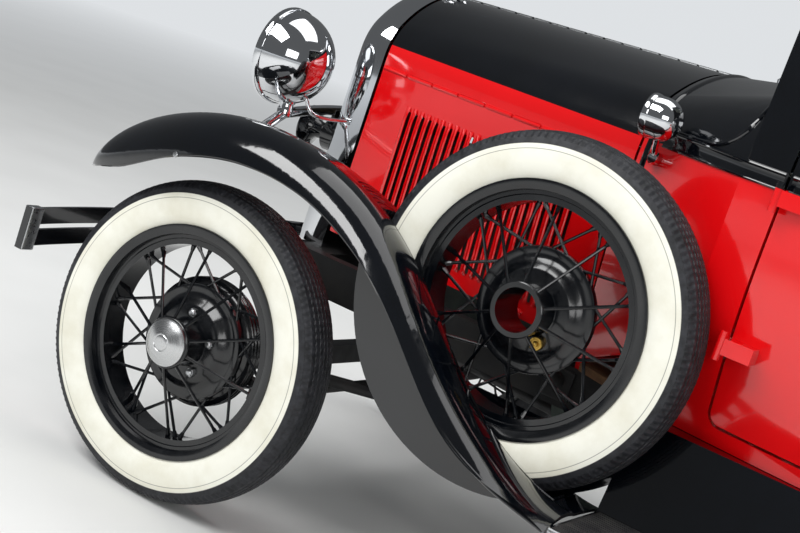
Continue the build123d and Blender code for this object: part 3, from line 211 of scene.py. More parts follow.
def carried(path, across, up, profile, closed=False):
    """A closed profile carried along a path. Point (i, j) is path i + across i times profile j's first number
    + up i times its second. Open ends are filled with flat faces."""
    path, across, up, profile = (np.asarray(v, float) for v in (path, across, up, profile))
    across = np.broadcast_to(across, path.shape)
    up = np.broadcast_to(up, path.shape)
    points = path[:, None] + across[:, None] * profile[None, :, :1] + up[:, None] * profile[None, :, 1:]
    n, m = points.shape[:2]
    faces = [grid_faces(n, m, closed, True)]
    if not closed:
        faces += [np.arange(m)[None, :], (n * m - 1 - np.arange(m))[None, :]]
    return points.reshape(-1, 3), faces


def tube(path, radius, sides=12, closed=False):
    """A round bar along a path: circles square to the path's direction at each of its points. The radius may
    be one number or one for each point."""
    path = np.asarray(path, float)
    ahead = np.roll(path, -1, 0) - np.roll(path, 1, 0)
    if not closed:
        ahead[0], ahead[-1] = path[1] - path[0], path[-1] - path[-2]
    ahead /= np.linalg.norm(ahead, axis=1)[:, None]
    flat = np.abs(ahead[:, 2]).max() > 0.95
    across = np.cross(ahead, (0, 1, 0) if flat else (0, 0, 1))
    across /= np.linalg.norm(across, axis=1)[:, None]
    over = np.cross(across, ahead)
    size = np.broadcast_to(np.asarray(radius, float), len(path))[:, None]
    turn = np.linspace(0, 2 * pi, sides, endpoint=False)
    ring = np.stack([np.cos(turn), np.sin(turn)], 1)
    return carried(path, across * size, over * size, ring, closed)


def turned(profile, origin, axis, steps=48, sides=0):
    """A profile of (along, radius) turned about an axis. Point (i, j) is origin + axis times along j + the
    radius j in the direction at angle i. With sides, the radius is that of a polygon with so many flats:
    radius over the cosine of the angle from the nearest flat's middle, times the cosine of a half flat."""
    profile = np.asarray(profile, float)
    axis = np.array(axis, float) / np.linalg.norm(axis)
    first = np.cross(axis, (0, 1, 0) if abs(axis[1]) < 0.9 else (1, 0, 0))
    first /= np.linalg.norm(first)
    second = np.cross(axis, first)
    angle = np.linspace(0, 2 * pi, steps, endpoint=False)
    reach = np.ones(steps)
    if sides:
        flat = 2 * pi / sides
        reach = cos(flat / 2) / np.cos((angle + flat / 2) % flat - flat / 2)
    out = (np.cos(angle)[:, None] * first + np.sin(angle)[:, None] * second) * reach[:, None]
    points = np.array(origin) + profile[None, :, :1] * axis + out[:, None] * profile[None, :, 1:]
    return points.reshape(-1, 3), [grid_faces(steps, len(profile), True, False)]


def slab(size, radius):
    """A box about zero with all its edges rounded. At angle t from the middle, a ring of the box's own
    outline stands at half the length - radius + radius sin t, drawn in by radius (1 - cos t)."""
    half = np.array(size, float) / 2 - radius
    t = np.radians([-90, -60, -30, 0, 0, 30, 60, 90])
    ahead = np.sign(np.arange(8) - 3.5) * half[0] + radius * np.sin(t)
    turn = np.radians(np.array([0, 30, 60, 90]) + np.array([0, 90, 180, 270])[:, None]).ravel()
    corner = np.repeat(np.array([[1, 1], [-1, 1], [-1, -1], [1, -1]]), 4, 0) * half[1:]
    ring = np.stack([np.cos(turn), np.sin(turn)], 1)
    flat = corner[None] + radius * np.cos(t)[:, None, None] * ring[None]
    points = np.concatenate([np.broadcast_to(ahead[:, None, None], (8, 16, 1)), flat], -1)
    caps = [np.arange(16)[None, ::-1], np.arange(112, 128)[None, :]]
    return points.reshape(-1, 3), [grid_faces(8, 16, False, True)] + caps


def repeated(shape, moves):
    """Copies of a shape, one for each offset in moves."""
    moves = np.asarray(moves, float)
    count = len(shape[0])
    points = (moves[:, None] + shape[0][None]).reshape(-1, 3)
    starts = np.arange(len(moves)) * count
    return points, [(starts[:, None, None] + f[None]).reshape(-1, f.shape[1]) for f in shape[1]]


def smooth_path(places, count):
    """A smooth line through places: each span is the cubic whose slopes at its ends are half the chord
    between the neighbours, sampled at count points in all."""
    places = np.asarray(places, float)
    slope = np.gradient(places, axis=0)
    t = np.linspace(0, len(places) - 1 - 1e-9, count)
    k = t.astype(int)
    s = (t - k)[:, None]
    a, b, m, n = places[k], places[k + 1], slope[k], slope[k + 1]
    return (2 * s ** 3 - 3 * s ** 2 + 1) * a + (s ** 3 - 2 * s ** 2 + s) * m + (3 * s ** 2 - 2 * s ** 3) * b \
        + (s ** 3 - s ** 2) * n


def on_skin(node, starts, ends):
    """Where straight lines from starts to ends first meet a CAD node's surface. A line that misses gives no
    place, and fewer than two places is an error."""
    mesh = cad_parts[node].data
    corners = np.zeros(len(mesh.vertices) * 3, np.float32)
    mesh.vertices.foreach_get("co", corners)
    places = [Vector(place) for place in corners.reshape(-1, 3)]
    tree = BVHTree.FromPolygons(places, [face.vertices[:] for face in mesh.polygons])
    found = []
    for start, end in zip(*in_metres(np.broadcast_arrays(starts, ends))):
        way = Vector(end - start)
        hit = tree.ray_cast(Vector(start), way.normalized(), way.length)[0]
        if hit is not None:
            found.append(hit)
    if len(found) < 2:
        raise RuntimeError(f"the lines meet {node} in {len(found)} places")
    return np.array(found) / MM - (AXLE_TO_ORIGIN, 0, 0)


def mesh_of(name, shape, uv=None):
    """A mesh from a shape, with its doubled points merged and its faces turned outwards. uv gives one pair
    for each corner of each face of the shape's first face array."""
    points, faces = shape
    mesh = bpy.data.meshes.new(name)
    mesh.vertices.add(len(points))
    mesh.vertices.foreach_set("co", in_metres(points).astype(np.float32).ravel())
    corners = np.concatenate([f.ravel() for f in faces]).astype(np.int32)
    sizes = np.concatenate([np.full(len(f), f.shape[1], np.int32) for f in faces])
    mesh.loops.add(len(corners))
    mesh.loops.foreach_set("vertex_index", corners)
    mesh.polygons.add(len(sizes))
    mesh.polygons.foreach_set("loop_start", np.concatenate([[0], np.cumsum(sizes)[:-1]]).astype(np.int32))
    if uv is not None:
        mesh.uv_layers.new(name="UVMap").data.foreach_set("uv", np.ascontiguousarray(uv, np.float32).ravel())
    mesh.update(calc_edges=True)
    work = bmesh.new()
    work.from_mesh(mesh)
    bmesh.ops.remove_doubles(work, verts=work.verts, dist=2e-6)
    bmesh.ops.recalc_face_normals(work, faces=work.faces)
    work.to_mesh(mesh)
    work.free()
    mesh.validate()
    return mesh


def plate(top, bottom, keep=None):
    """A closed sheet between two grids of the same size, of all cells or of those kept: their faces, and a
    wall on each edge of a cell whose neighbour is left out."""
    n, m = top.shape[:2]
    index = np.arange(n * m).reshape(n, m)
    a, b, c, d = index[:-1, :-1], index[1:, :-1], index[1:, 1:], index[:-1, 1:]
    if keep is None:
        keep = np.ones((n - 1, m - 1), bool)
    near = np.pad(keep, 1)
    faces = [np.stack([a, b, c, d], -1)[keep], np.stack([d, c, b, a], -1)[keep] + n * m]
    walls = ((d, a, near[:-2, 1:-1]), (b, c, near[2:, 1:-1]), (a, b, near[1:-1, :-2]), (c, d, near[1:-1, 2:]))
    for one, two, beside in walls:
        edge = keep & ~beside
        faces.append(np.stack([two[edge], one[edge], one[edge] + n * m, two[edge] + n * m], -1))
    return np.concatenate([top.reshape(-1, 3), bottom.reshape(-1, 3)]), faces


def add_piece(name, shape, body, material, sharp=35, uv=None, replaced=None):
    """Puts a shape in the scene as a piece on a body, smooth but for edges sharper than an angle in degrees.
    Its material is the one named, and replaced is the CAD node it stands for."""
    mesh = mesh_of(name, shape, uv)
    mesh.materials.append(bpy.data.materials[material])
    mesh.polygons.foreach_set("use_smooth", np.ones(len(mesh.polygons), bool))
    mesh.set_sharp_from_angle(angle=radians(sharp))
    piece = bpy.data.objects.new(name, mesh)
    bpy.context.scene.collection.objects.link(piece)
    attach(piece, body)
    if replaced:
        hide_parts(replaced)
    return piece


def add_pair(name, shape, body, material, sharp=35, replaced=None):
    """A left piece and its mirror image as two pieces. SIDE in a body's or a node's name is the side."""
    for side, sign in SIDES:
        shown = shape if sign > 0 else mirrored(shape)
        node = replaced and replaced.replace("SIDE", side)
        add_piece(f"{name}_{side}", shown, body.replace("SIDE", side), material, sharp, replaced=node)


def finish_node(name, material):
    """Gives every material slot of a CAD node one material."""
    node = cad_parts[name]
    for slot in node.material_slots:
        slot.material = bpy.data.materials[material]


# What a user may change

class SedanSizes(bpy.types.PropertyGroup):
    """Sizes of the dressed pieces, in millimetres unless they say otherwise."""
    tread_bars: IntProperty(name="Tread bars", description="Bars round each shoulder of a tyre",
                            default=150, min=60, max=220)
    tread_depth: FloatProperty(name="Tread depth", description="Depth of the tyre's grooves, mm",
                               default=3.2, min=0.5, max=6)
    whitewall_inner: FloatProperty(name="Whitewall inner radius",
                                   description="Where the white rubber begins, mm", default=262)
    whitewall_outer: FloatProperty(name="Whitewall outer radius",
                                   description="Where the white rubber ends, mm", default=331)
    paint_break: FloatProperty(name="Paint break", description="Height where red meets black, mm",
                               default=1122)
    belt_height: FloatProperty(name="Belt height", description="Middle of the belt moulding, mm",
                               default=1134)
    seat_pleat: FloatProperty(name="Seat pleat", description="Distance between sewn pleats, mm",
                              default=62, min=30)
    core_pitch: FloatProperty(name="Radiator tube pitch", description="Distance between radiator tubes, mm",
                              default=12, min=6)


class SedanColours(bpy.types.PropertyGroup):
    """Colours of the paint, rubber and trim."""
    red: FloatVectorProperty(name="Red enamel", description="Body sides and hood sides", subtype="COLOR",
                             default=linear("E10A10"))
    black: FloatVectorProperty(name="Black enamel", description="Fenders, roof and hood top",
                               subtype="COLOR", default=linear("030509"))
    whitewall: FloatVectorProperty(name="White rubber", description="Tyre side band", subtype="COLOR",
                                   default=linear("E9E8DC"))
    rubber: FloatVectorProperty(name="Tyre rubber", description="Tread and shoulders", subtype="COLOR",
                                default=linear("24262A"))
    leather: FloatVectorProperty(name="Leather", description="Seats", subtype="COLOR",
                                 default=linear("6A3F26"))


# Materials

ORANGE_PEEL = (clouds(220, 1), 0.035, 0.0006)


def black_tone(colours):
    """Black enamel under a thin film of dust that greys it in patches."""
    return clouds(3.5, 6, 0.62), [(0.42, colours.black), (0.75, "080B11")]


def red_tone(colours):
    """Red enamel, a little deeper where the panel is dusty."""
    return clouds(3, 5, 0.6), [(0.3, "D8080D"), (0.7, colours.red)]


def black_enamel(colours):
    """Black synthetic enamel over steel, sprayed and polished: deep mirror gloss and a faint orange peel."""
    surface("black_enamel", colours.black, black_tone(colours), (clouds(9, 5), 0.05, 0.15), ORANGE_PEEL,
            roughness=0.09, ior=1.5, coat_weight=0.6, coat_roughness=0.03)


def red_enamel(colours):
    """Red synthetic enamel, sprayed and polished: bright and glossy."""
    surface("red_enamel", colours.red, red_tone(colours), (clouds(8, 5), 0.08, 0.2), ORANGE_PEEL,
            roughness=0.12, ior=1.5, coat_weight=0.7, coat_roughness=0.03)


def two_tone_enamel(colours, sizes):
    """The two enamels masked at the belt: red below the paint break and black above it."""
    tree, shader = surface("two_tone_enamel", colours.red, None, (clouds(8, 5), 0.06, 0.18), ORANGE_PEEL,
                           roughness=0.11, ior=1.5, coat_weight=0.7, coat_roughness=0.03)
    place = add_node(tree, "ShaderNodeTexCoord").outputs["Object"]
    height = add_node(tree, "ShaderNodeSeparateXYZ", None, {"Vector": place}).outputs["Z"]
    span = {"From Min": (sizes.paint_break - 0.5) * MM, "From Max": (sizes.paint_break + 0.5) * MM}
    above = add_node(tree, "ShaderNodeMapRange", span, {"Value": height})
    red, black = (tones(tree, strength(tree, pattern), stops)
                  for pattern, stops in (red_tone(colours), black_tone(colours)))
    tree.links.new(blended(tree, above.outputs["Result"], red, black), shader.inputs["Base Color"])


def chrome_plate():
    """Chromium over nickel on brass, buffed: a clear mirror with faint haze from polishing."""
    surface("chrome_plate", "D9DBDE", None, (clouds(12, 6), 0.02, 0.09), (clouds(30, 2), 0.02, 0.001),
            metallic=1.0, roughness=0.05)


def spun_nickel():
    """Stainless hub cap, spun on a lathe and rubbed: satin, with fine rings round its middle."""
    rings = (2, 260, 1)
    surface("spun_nickel", "C9CACB", None, (clouds(1, 4, stretch=rings), 0.2, 0.34),
            (clouds(1, 2, stretch=rings), 0.12, 0.0002), "UV", metallic=1.0, roughness=0.26)


def zinc_plate():
    """Zinc-plated steel nuts, bolts and irons: pale grey, half bright, rubbed on the corners."""
    surface("zinc_plate", "B9BBBD", None, (clouds(160, 3), 0.18, 0.42), metallic=1.0, roughness=0.28)


def brass_plate():
    """Turned brass of the spare's lock nut: yellow, slightly tarnished."""
    surface("brass_plate", "C9A24B", (clouds(140, 4), [(0.35, "9A7A38"), (0.65, "D6B25C")]),
            metallic=1.0, roughness=0.3)


def wheel_enamel(colours):
    """Stoved black enamel on the wire wheels: gloss, with brake dust in the corners of the hub."""
    surface("wheel_enamel", colours.black, (clouds(16, 6, 0.65), [(0.45, colours.black), (0.8, "1C1D1F")]),
            (clouds(30, 5), 0.12, 0.32), (clouds(400, 2), 0.05, 0.0004),
            roughness=0.2, ior=1.5, coat_weight=0.3, coat_roughness=0.08)


def tyre_rubber(colours, sizes):
    """Moulded tyre: ivory white rubber between two radii with a thin grey ring about 10 mm inside its outer
    edge, black rubber elsewhere, dusty in the grooves. The UV map's second number is the radius in metres."""
    tree, shader = surface("tyre_rubber", colours.rubber, None, (clouds(40, 4), 0.42, 0.7),
                           (clouds(700, 2), 0.12, 0.0006), roughness=0.62, ior=1.52, specular_ior_level=0.35)
    coordinate = add_node(tree, "ShaderNodeTexCoord")
    parts = add_node(tree, "ShaderNodeSeparateXYZ", None, {"Vector": coordinate.outputs["UV"]})
    first, last = 0.24, 0.38
    share = add_node(tree, "ShaderNodeMapRange", {"From Min": first, "From Max": last},
                     {"Value": parts.outputs["Y"]})
    low, high = sizes.whitewall_inner * MM, sizes.whitewall_outer * MM
    edge = 0.0006
    bands = [
        # radius in metres, share of white
        (first, 0), (low, 0), (low + edge, 1), (high - 0.0115, 1), (high - 0.0109, 0.28),
        (high - 0.0102, 0.28), (high - 0.0096, 1), (high - edge, 1), (high, 0),
    ]
    stops = [((radius - first) / (last - first), (white,) * 3) for radius, white in bands]
    band = tones(tree, share.outputs["Result"], stops)
    white = tones(tree, strength(tree, clouds(9, 5, 0.6)), [(0.3, "DAD7C6"), (0.6, colours.whitewall)])
    black = tones(tree, strength(tree, clouds(60, 5, 0.7)), [(0.35, "16171A"), (0.75, "34353A")])
    tree.links.new(blended(tree, band, black, white), shader.inputs["Base Color"])


def chassis_paint():
    """Brushed black chassis paint on pressed steel: half matt, with road dust that lies in clouds."""
    surface("chassis_paint", "131417", (clouds(8, 7, 0.65), [(0.4, "101114"), (0.8, "2B2926")]),
            (clouds(20, 5), 0.35, 0.75), (clouds(180, 3), 0.15, 0.0008), roughness=0.5, ior=1.5)


def engine_iron():
    """Cast iron engine in dull green-grey engine paint: coarse sand-cast skin, oily streaks."""
    surface("engine_iron", "2E3733", (clouds(7, 8, 0.7), [(0.35, "1D211F"), (0.65, "39443F")]), None,
            (clouds(420, 4), 0.35, 0.001), roughness=0.55, ior=1.5)


def pipe_steel():
    """Bare steel exhaust, heated and weathered: brown-grey scale with rust freckles."""
    scale = [(0.32, "3A3430"), (0.5, "63503F"), (0.72, "7C4A2C")]
    surface("pipe_steel", "5B4A3E", (clouds(22, 8, 0.72), scale), None, (clouds(300, 4), 0.3, 0.0008),
            roughness=0.65, metallic=0.35)


def window_glass():
    """Flat sheet glass: clear with a slight green, and a faint waviness in its reflections."""
    surface("window_glass", "EAF3EE", relief=(clouds(6, 2), 0.02, 0.002),
            roughness=0.02, ior=1.5, transmission_weight=1.0)


def fluted_glass():
    """Pressed lamp glass with upright flutes on its back, 9 mm apart, that blur what is behind."""
    surface("fluted_glass", "F2F6F4", relief=(flutes(0.009, "Y"), 0.6, 0.002),
            roughness=0.04, ior=1.5, transmission_weight=1.0)


def ruby_glass():
    """Red pressed glass of the tail lamps, with fine rings."""
    surface("ruby_glass", "B5101A", relief=(clouds(250, 1), 0.2, 0.001),
            roughness=0.08, ior=1.5, transmission_weight=0.55)


def roof_long_grain():
    """Coated cloth of the roof: black, with a long pebbled grain about 3 mm across, drawn coarse to show."""
    surface("roof_long_grain", "15161A", None, (clouds(5, 5), 0.45, 0.68),
            (pebbles(330, (0.55, 1, 1)), 0.4, 0.0012), roughness=0.55, ior=1.5)


def ribbed_rubber():
    """Moulded rubber mat and pedal pads: dull black with a chalky bloom."""
    surface("ribbed_rubber", "1E1F22", (clouds(25, 6, 0.7), [(0.35, "17181B"), (0.8, "3B3A38")]),
            roughness=0.75, ior=1.52, specular_ior_level=0.3)


def seat_leather(colours):
    """Brown upholstery leather: pebble grain about 2 mm across, drawn coarse to show, paler where rubbed."""
    stain = [(0.3, "4E2C1A"), (0.65, colours.leather), (0.85, "8A5A3A")]
    surface("seat_leather", colours.leather, (clouds(7, 6, 0.6), stain), (clouds(18, 4), 0.38, 0.62),
            (pebbles(480), 0.35, 0.0008), roughness=0.5, ior=1.5, sheen_weight=0.15)


def trim_cloth():
    """Woven wool head lining and side trim: light brown, matt, with a 2.5 mm twill drawn coarse to show."""
    surface("trim_cloth", "8C7A62", (clouds(12, 6), [(0.3, "7B6A54"), (0.7, "98866D")]), None,
            (flutes(0.0025, "DIAGONAL", 1.0), 0.25, 0.0006),
            roughness=0.9, ior=1.45, sheen_weight=0.35, sheen_roughness=0.5)


def floor_boards():
    """Oiled softwood floorboards, 120 mm wide, under a dust of use: brown with long grain."""
    grain = clouds(1.4, 8, 0.65, (1.5, 28, 28))
    surface("floor_boards", "6B4A2E", (grain, [(0.3, "4A3220"), (0.6, "7A5636"), (0.8, "8E6844")]), None,
            (grain, 0.2, 0.001), roughness=0.7, ior=1.45)


def hard_rubber():
    """Moulded ebonite of the steering wheel: black, smooth, slightly worn on the rim."""
    surface("hard_rubber", "0C0C0D", None, (clouds(25, 5), 0.2, 0.45), roughness=0.28, ior=1.55)


def dial_face():
    """Enamelled instrument face: cream with a satin lacquer."""
    surface("dial_face", "D8CFB4", (clouds(60, 3), [(0.3, "CDC3A6"), (0.7, "DDD5BD")]),
            roughness=0.4, ior=1.5)


def radiator_brass():
    """Radiator core of soldered brass tubes sprayed with thin black: dark, metal at the edges."""
    surface("radiator_brass", "1B1A18", (clouds(90, 5), [(0.4, "121110"), (0.8, "4A3D26")]),
            roughness=0.45, metallic=0.5)


# Pieces

WHEEL_RADIUS, HALF_TRACK = 362, 711
AXLES = (("front", 0), ("rear", -2629))
SPARE = (-728, 647, 729)
# Half of a tyre's section from bead to crown: along, radius, share of a shoulder bar
TYRE_SECTION = [
    (46.7, 247.4, 0), (46.8, 256, 0), (47.4, 262.6, 0), (50.6, 266.2, 0), (54.4, 273, 0), (57.6, 283, 0),
    (59.6, 294, 0), (60.3, 306, 0), (59.8, 317, 0), (58.5, 326, 0), (57.3, 331, 0), (56.1, 334, 0),
    (54.4, 338.5, 0), (53, 341.6, 0), (52.2, 343.2, 0), (51.6, 344.6, 1), (49.6, 347.6, 1),
    (46.2, 351.2, 1), (41.8, 354.3, 1), (40.6, 354.9, 0),
]
GROOVES = (31.5, 19, 6.5)
GROOVE_SIDES = ((2.4, 0), (1.2, 1), (-1.2, 1), (-2.4, 0))
GROOVE_SWAY = 1.7
CROWN_DROP, CROWN_REACH = 8.6, 44
# The UV radius on a tyre's inner side, outside the whitewall
INNER_SIDE_RADIUS = 375.0
# Sections of the wheel about its axle, as along and radius, from the wheel's middle plane outwards
RIM_SECTION = [
    (52, 262), (47, 262), (47, 247), (29, 245), (29, 223), (-29, 223), (-29, 245), (-47, 247), (-47, 262),
    (-52, 262), (-52.6, 258), (-52, 250), (-48, 241), (-37, 239), (-37, 232), (-34, 230), (-34, 218),
    (34, 218), (34, 230), (37, 232), (37, 239), (48, 241), (52, 250), (52.6, 258), (52, 262),
]
HUB_SECTION = [
    (-26, 45), (80, 45), (80, 55), (78.5, 57), (72, 57.4), (67, 55), (64, 51.5), (16, 52), (12, 54.5),
    (11, 58), (11, 81), (8.5, 87), (1, 95), (-5, 103), (-8, 110), (-8.5, 118), (-7, 125), (-9, 130),
    (-13, 131.5), (-22, 131.5), (-26, 128), (-26, 45),
]
DRUM_SECTION = [
    (-26.5, 17.1), (-26.5, 122), (-29, 135), (-34, 142), (-38, 145), (-40, 148), (-43, 148), (-45, 145),
    (-50, 145), (-52, 148), (-55, 148), (-57, 145), (-62, 145), (-64, 148), (-67, 148), (-69, 145),
    (-75, 145), (-75, 137), (-36, 137), (-36, 17.1), (-26.5, 17.1),
]
CAP_SECTION = [
    (78, 0), (78, 52.4), (82, 53.2), (84.5, 52.6), (85.6, 50), (88.5, 46), (94.5, 34), (99.2, 23.5),
    (100.2, 21), (100.3, 19.6), (99.5, 18.8), (99.3, 17.6), (100.2, 16.6), (100.8, 15), (101.3, 8),
    (101.4, 0),
]
CAP_STEPS = 64
COLLAR_SECTION = [(71, 50), (71, 57.6), (76.5, 58.4), (79, 57), (79.6, 54), (78.4, 50), (71, 50)]
LOCK_SECTION = [
    (10, 0), (10, 13.5), (19, 14.5), (24, 14.5), (25.5, 13.2), (25.5, 10.4), (24.6, 9.8), (24.6, 6.6),
    (28, 5.8), (28.6, 3), (27.6, 2.4), (27.6, 0),
]
LUGS, LUG_CIRCLE, LUG_TOP = 5, 70, 22
LOCK_LUG = 3
NOSE_SPOKES, DISH_SPOKES, DISH_CROSSING = 10, 20, 26
# A spoke's reach from the axle at the hub, and its places along the axle at the hub and at the rim
NOSE_SPOKE, DISH_SPOKE = (54, 72, -6), (127, -16, 8)
SPOKE_REACH, SPOKE_RADIUS = 220.5, 3.5
FIRST_SPOKE, VALVE_ANGLE = 0.1, 2.62
# Where a spare's arm meets the frame rail, as y and z
RAIL_SIDE, RAIL_HEIGHT = 374, 560
ARM_RADIUS, STUD_RADIUS = 16, 7.5


class SedanOperator:
    """What the operators share: the sizes and colours kept with the scene."""
    bl_options = {"REGISTER"}

    def settings(self):
        """The scene's sizes and colours."""
        scene = bpy.context.scene
        return scene.sedan_sizes, scene.sedan_colours


def wheels():
    """Each wheel's name, body, middle, side, tyre's node and wheel's node: the road wheels and then the
    spares."""
    found = []
    for end, x in AXLES:
        for side, sign in SIDES:
            name, hub = f"{end}_{side}", (x, HALF_TRACK * sign, WHEEL_RADIUS)
            found.append((name, f"wheel_{name}", hub, sign, f"tyre_{name}", f"wheel_{name}"))
    for side, sign in SIDES:
        hub = (SPARE[0], SPARE[1] * sign, SPARE[2])
        found.append((f"spare_{side}", "car", hub, sign, "spare_tyres", "spare_wheels"))
    return found


def tyre_rows():
    """Places along the whole tyre section as along, radius, bar, groove and zigzag: the shoulder table,
    then three grooves to each side of the crown. The crown's radius is the wheel's less 8.6 times
    (along / 44) squared."""
    rows = [(*place, 0, 0) for place in TYRE_SECTION]
    for middle in GROOVES:
        for offset, deep in GROOVE_SIDES:
            along = middle + offset
            rows.append((along, WHEEL_RADIUS - CROWN_DROP * (along / CROWN_REACH) ** 2, 0, deep, 1))
    half = np.array(rows, float)
    return np.concatenate([half, half[::-1] * (-1, 1, 1, 1, 1)])


def tyre_shape(sizes, centre, side):
    """A tyre about the Y axis. Point (i, j) is at angle i on profile place j, drawn in by the tread's depth
    between shoulder bars (two of each four columns) and in grooves, whose lines zigzag by 1.7 mm."""
    count = sizes.tread_bars * 4
    step = np.arange(count)[:, None]
    angle = 2 * pi * step / count
    along, radius, bar, groove, zigzag = tyre_rows().T
    gap = np.array([0.0, 0.0, 1.0, 1.0])[step % 4]
    sway = np.array([0.0, 1.0, 0.0, -1.0])[step % 4] * GROOVE_SWAY
    reach = radius - sizes.tread_depth * (bar * gap + groove)
    y = np.broadcast_to(along + sway * zigzag, reach.shape) * side
    points = np.stack([reach * np.sin(angle), y, reach * np.cos(angle)], -1) + np.array(centre)
    n, m = reach.shape
    v = np.broadcast_to(np.where(along > 0, radius, INNER_SIDE_RADIUS) * MM, (n, m))
    u = np.broadcast_to(step / count, (n, m))
    right = (np.arange(m) + 1) % m
    uv = np.stack([np.stack([u, u + 1 / count, u + 1 / count, u], -1),
                   np.stack([v, v, v[:, right], v[:, right]], -1)], -1)
    return (points.reshape(-1, 3), [grid_faces(n, m, True, True)]), uv.reshape(-1, 2)


class SEDAN_OT_tyres(SedanOperator, bpy.types.Operator):
    """Whitewall tyres with barred shoulders and grooved tread, on the road wheels and spares"""
    bl_idname = "sedan.tyres"
    bl_label = "Tyres"

    def execute(self, context):
        sizes, colours = self.settings()
        tyre_rubber(colours, sizes)
        for name, body, hub, side, tyre, wheel in wheels():
            shape, uv = tyre_shape(sizes, hub, side)
            add_piece(f"tread_{name}", shape, body, "tyre_rubber", 40, uv=uv, replaced=tyre)
        return {"FINISHED"}


def spoke_ends(centre, side):
    """Hub ends and rim ends of the 30 spokes: ten straight from the nose, and twenty that leave the dish
    crossed by 26 degrees."""
    k = np.concatenate([np.arange(NOSE_SPOKES) * 2, np.arange(DISH_SPOKES)])
    front = np.arange(len(k)) < NOSE_SPOKES
    angle = 2 * pi * k / DISH_SPOKES + FIRST_SPOKE
    cross = np.where(front, 0, np.where(k % 2 == 1, 1, -1) * radians(DISH_CROSSING))
    hub_reach, hub_along, rim_along = np.where(front[:, None], NOSE_SPOKE, DISH_SPOKE).T

    def ring(reach, turn, along):
        """Places at a reach and an angle from the axle."""
        return np.stack([reach * np.sin(turn), side * along, reach * np.cos(turn)], -1) + np.array(centre)
    return ring(hub_reach, angle, hub_along), ring(SPOKE_REACH, angle + cross, rim_along)


def nipples(centre, side):
    """A short cone at each spoke's rim end, from 19 to 5 mm before it."""
    starts, ends = spoke_ends(centre, side)
    ways = (ends - starts) / np.linalg.norm(ends - starts, axis=1)[:, None]
    sizes = [4.4, 5.4, 6.2]
    return joined(*[tube([e - 19 * w, e - 12 * w, e - 5 * w], sizes, 8) for e, w in zip(ends, ways)])


def lug_place(centre, number):
    """The middle of a lug on its circle."""
    turn = 2 * pi * number / LUGS
    return centre[0] + LUG_CIRCLE * sin(turn), centre[1], centre[2] + LUG_CIRCLE * cos(turn)


def lug_nut(place, side):
    """A six-sided nut with a domed top."""
    axis, top = (0, side, 0), LUG_TOP
    flats = [(top - 13, 0), (top - 13, 11), (top - 1.5, 11), (top, 9.6), (top, 0)]
    crown = [(top - 0.5, 8.4), (top + 2.5, 7.6), (top + 4.6, 5), (top + 5.4, 0)]
    return joined(turned(flats, place, axis, 36, 6), turned(crown, place, axis, 18))


def cap_uv():
    """The hub cap's UV map: the share of a turn and of the way along its section."""
    turn = np.arange(CAP_STEPS)[:, None, None] / CAP_STEPS + np.array([0, 1, 1, 0]) / CAP_STEPS
    m = len(CAP_SECTION)
    along = (np.arange(m - 1)[None, :, None] + np.array([0, 0, 1, 1])) / m
    return np.stack(np.broadcast_arrays(turn, along), -1)


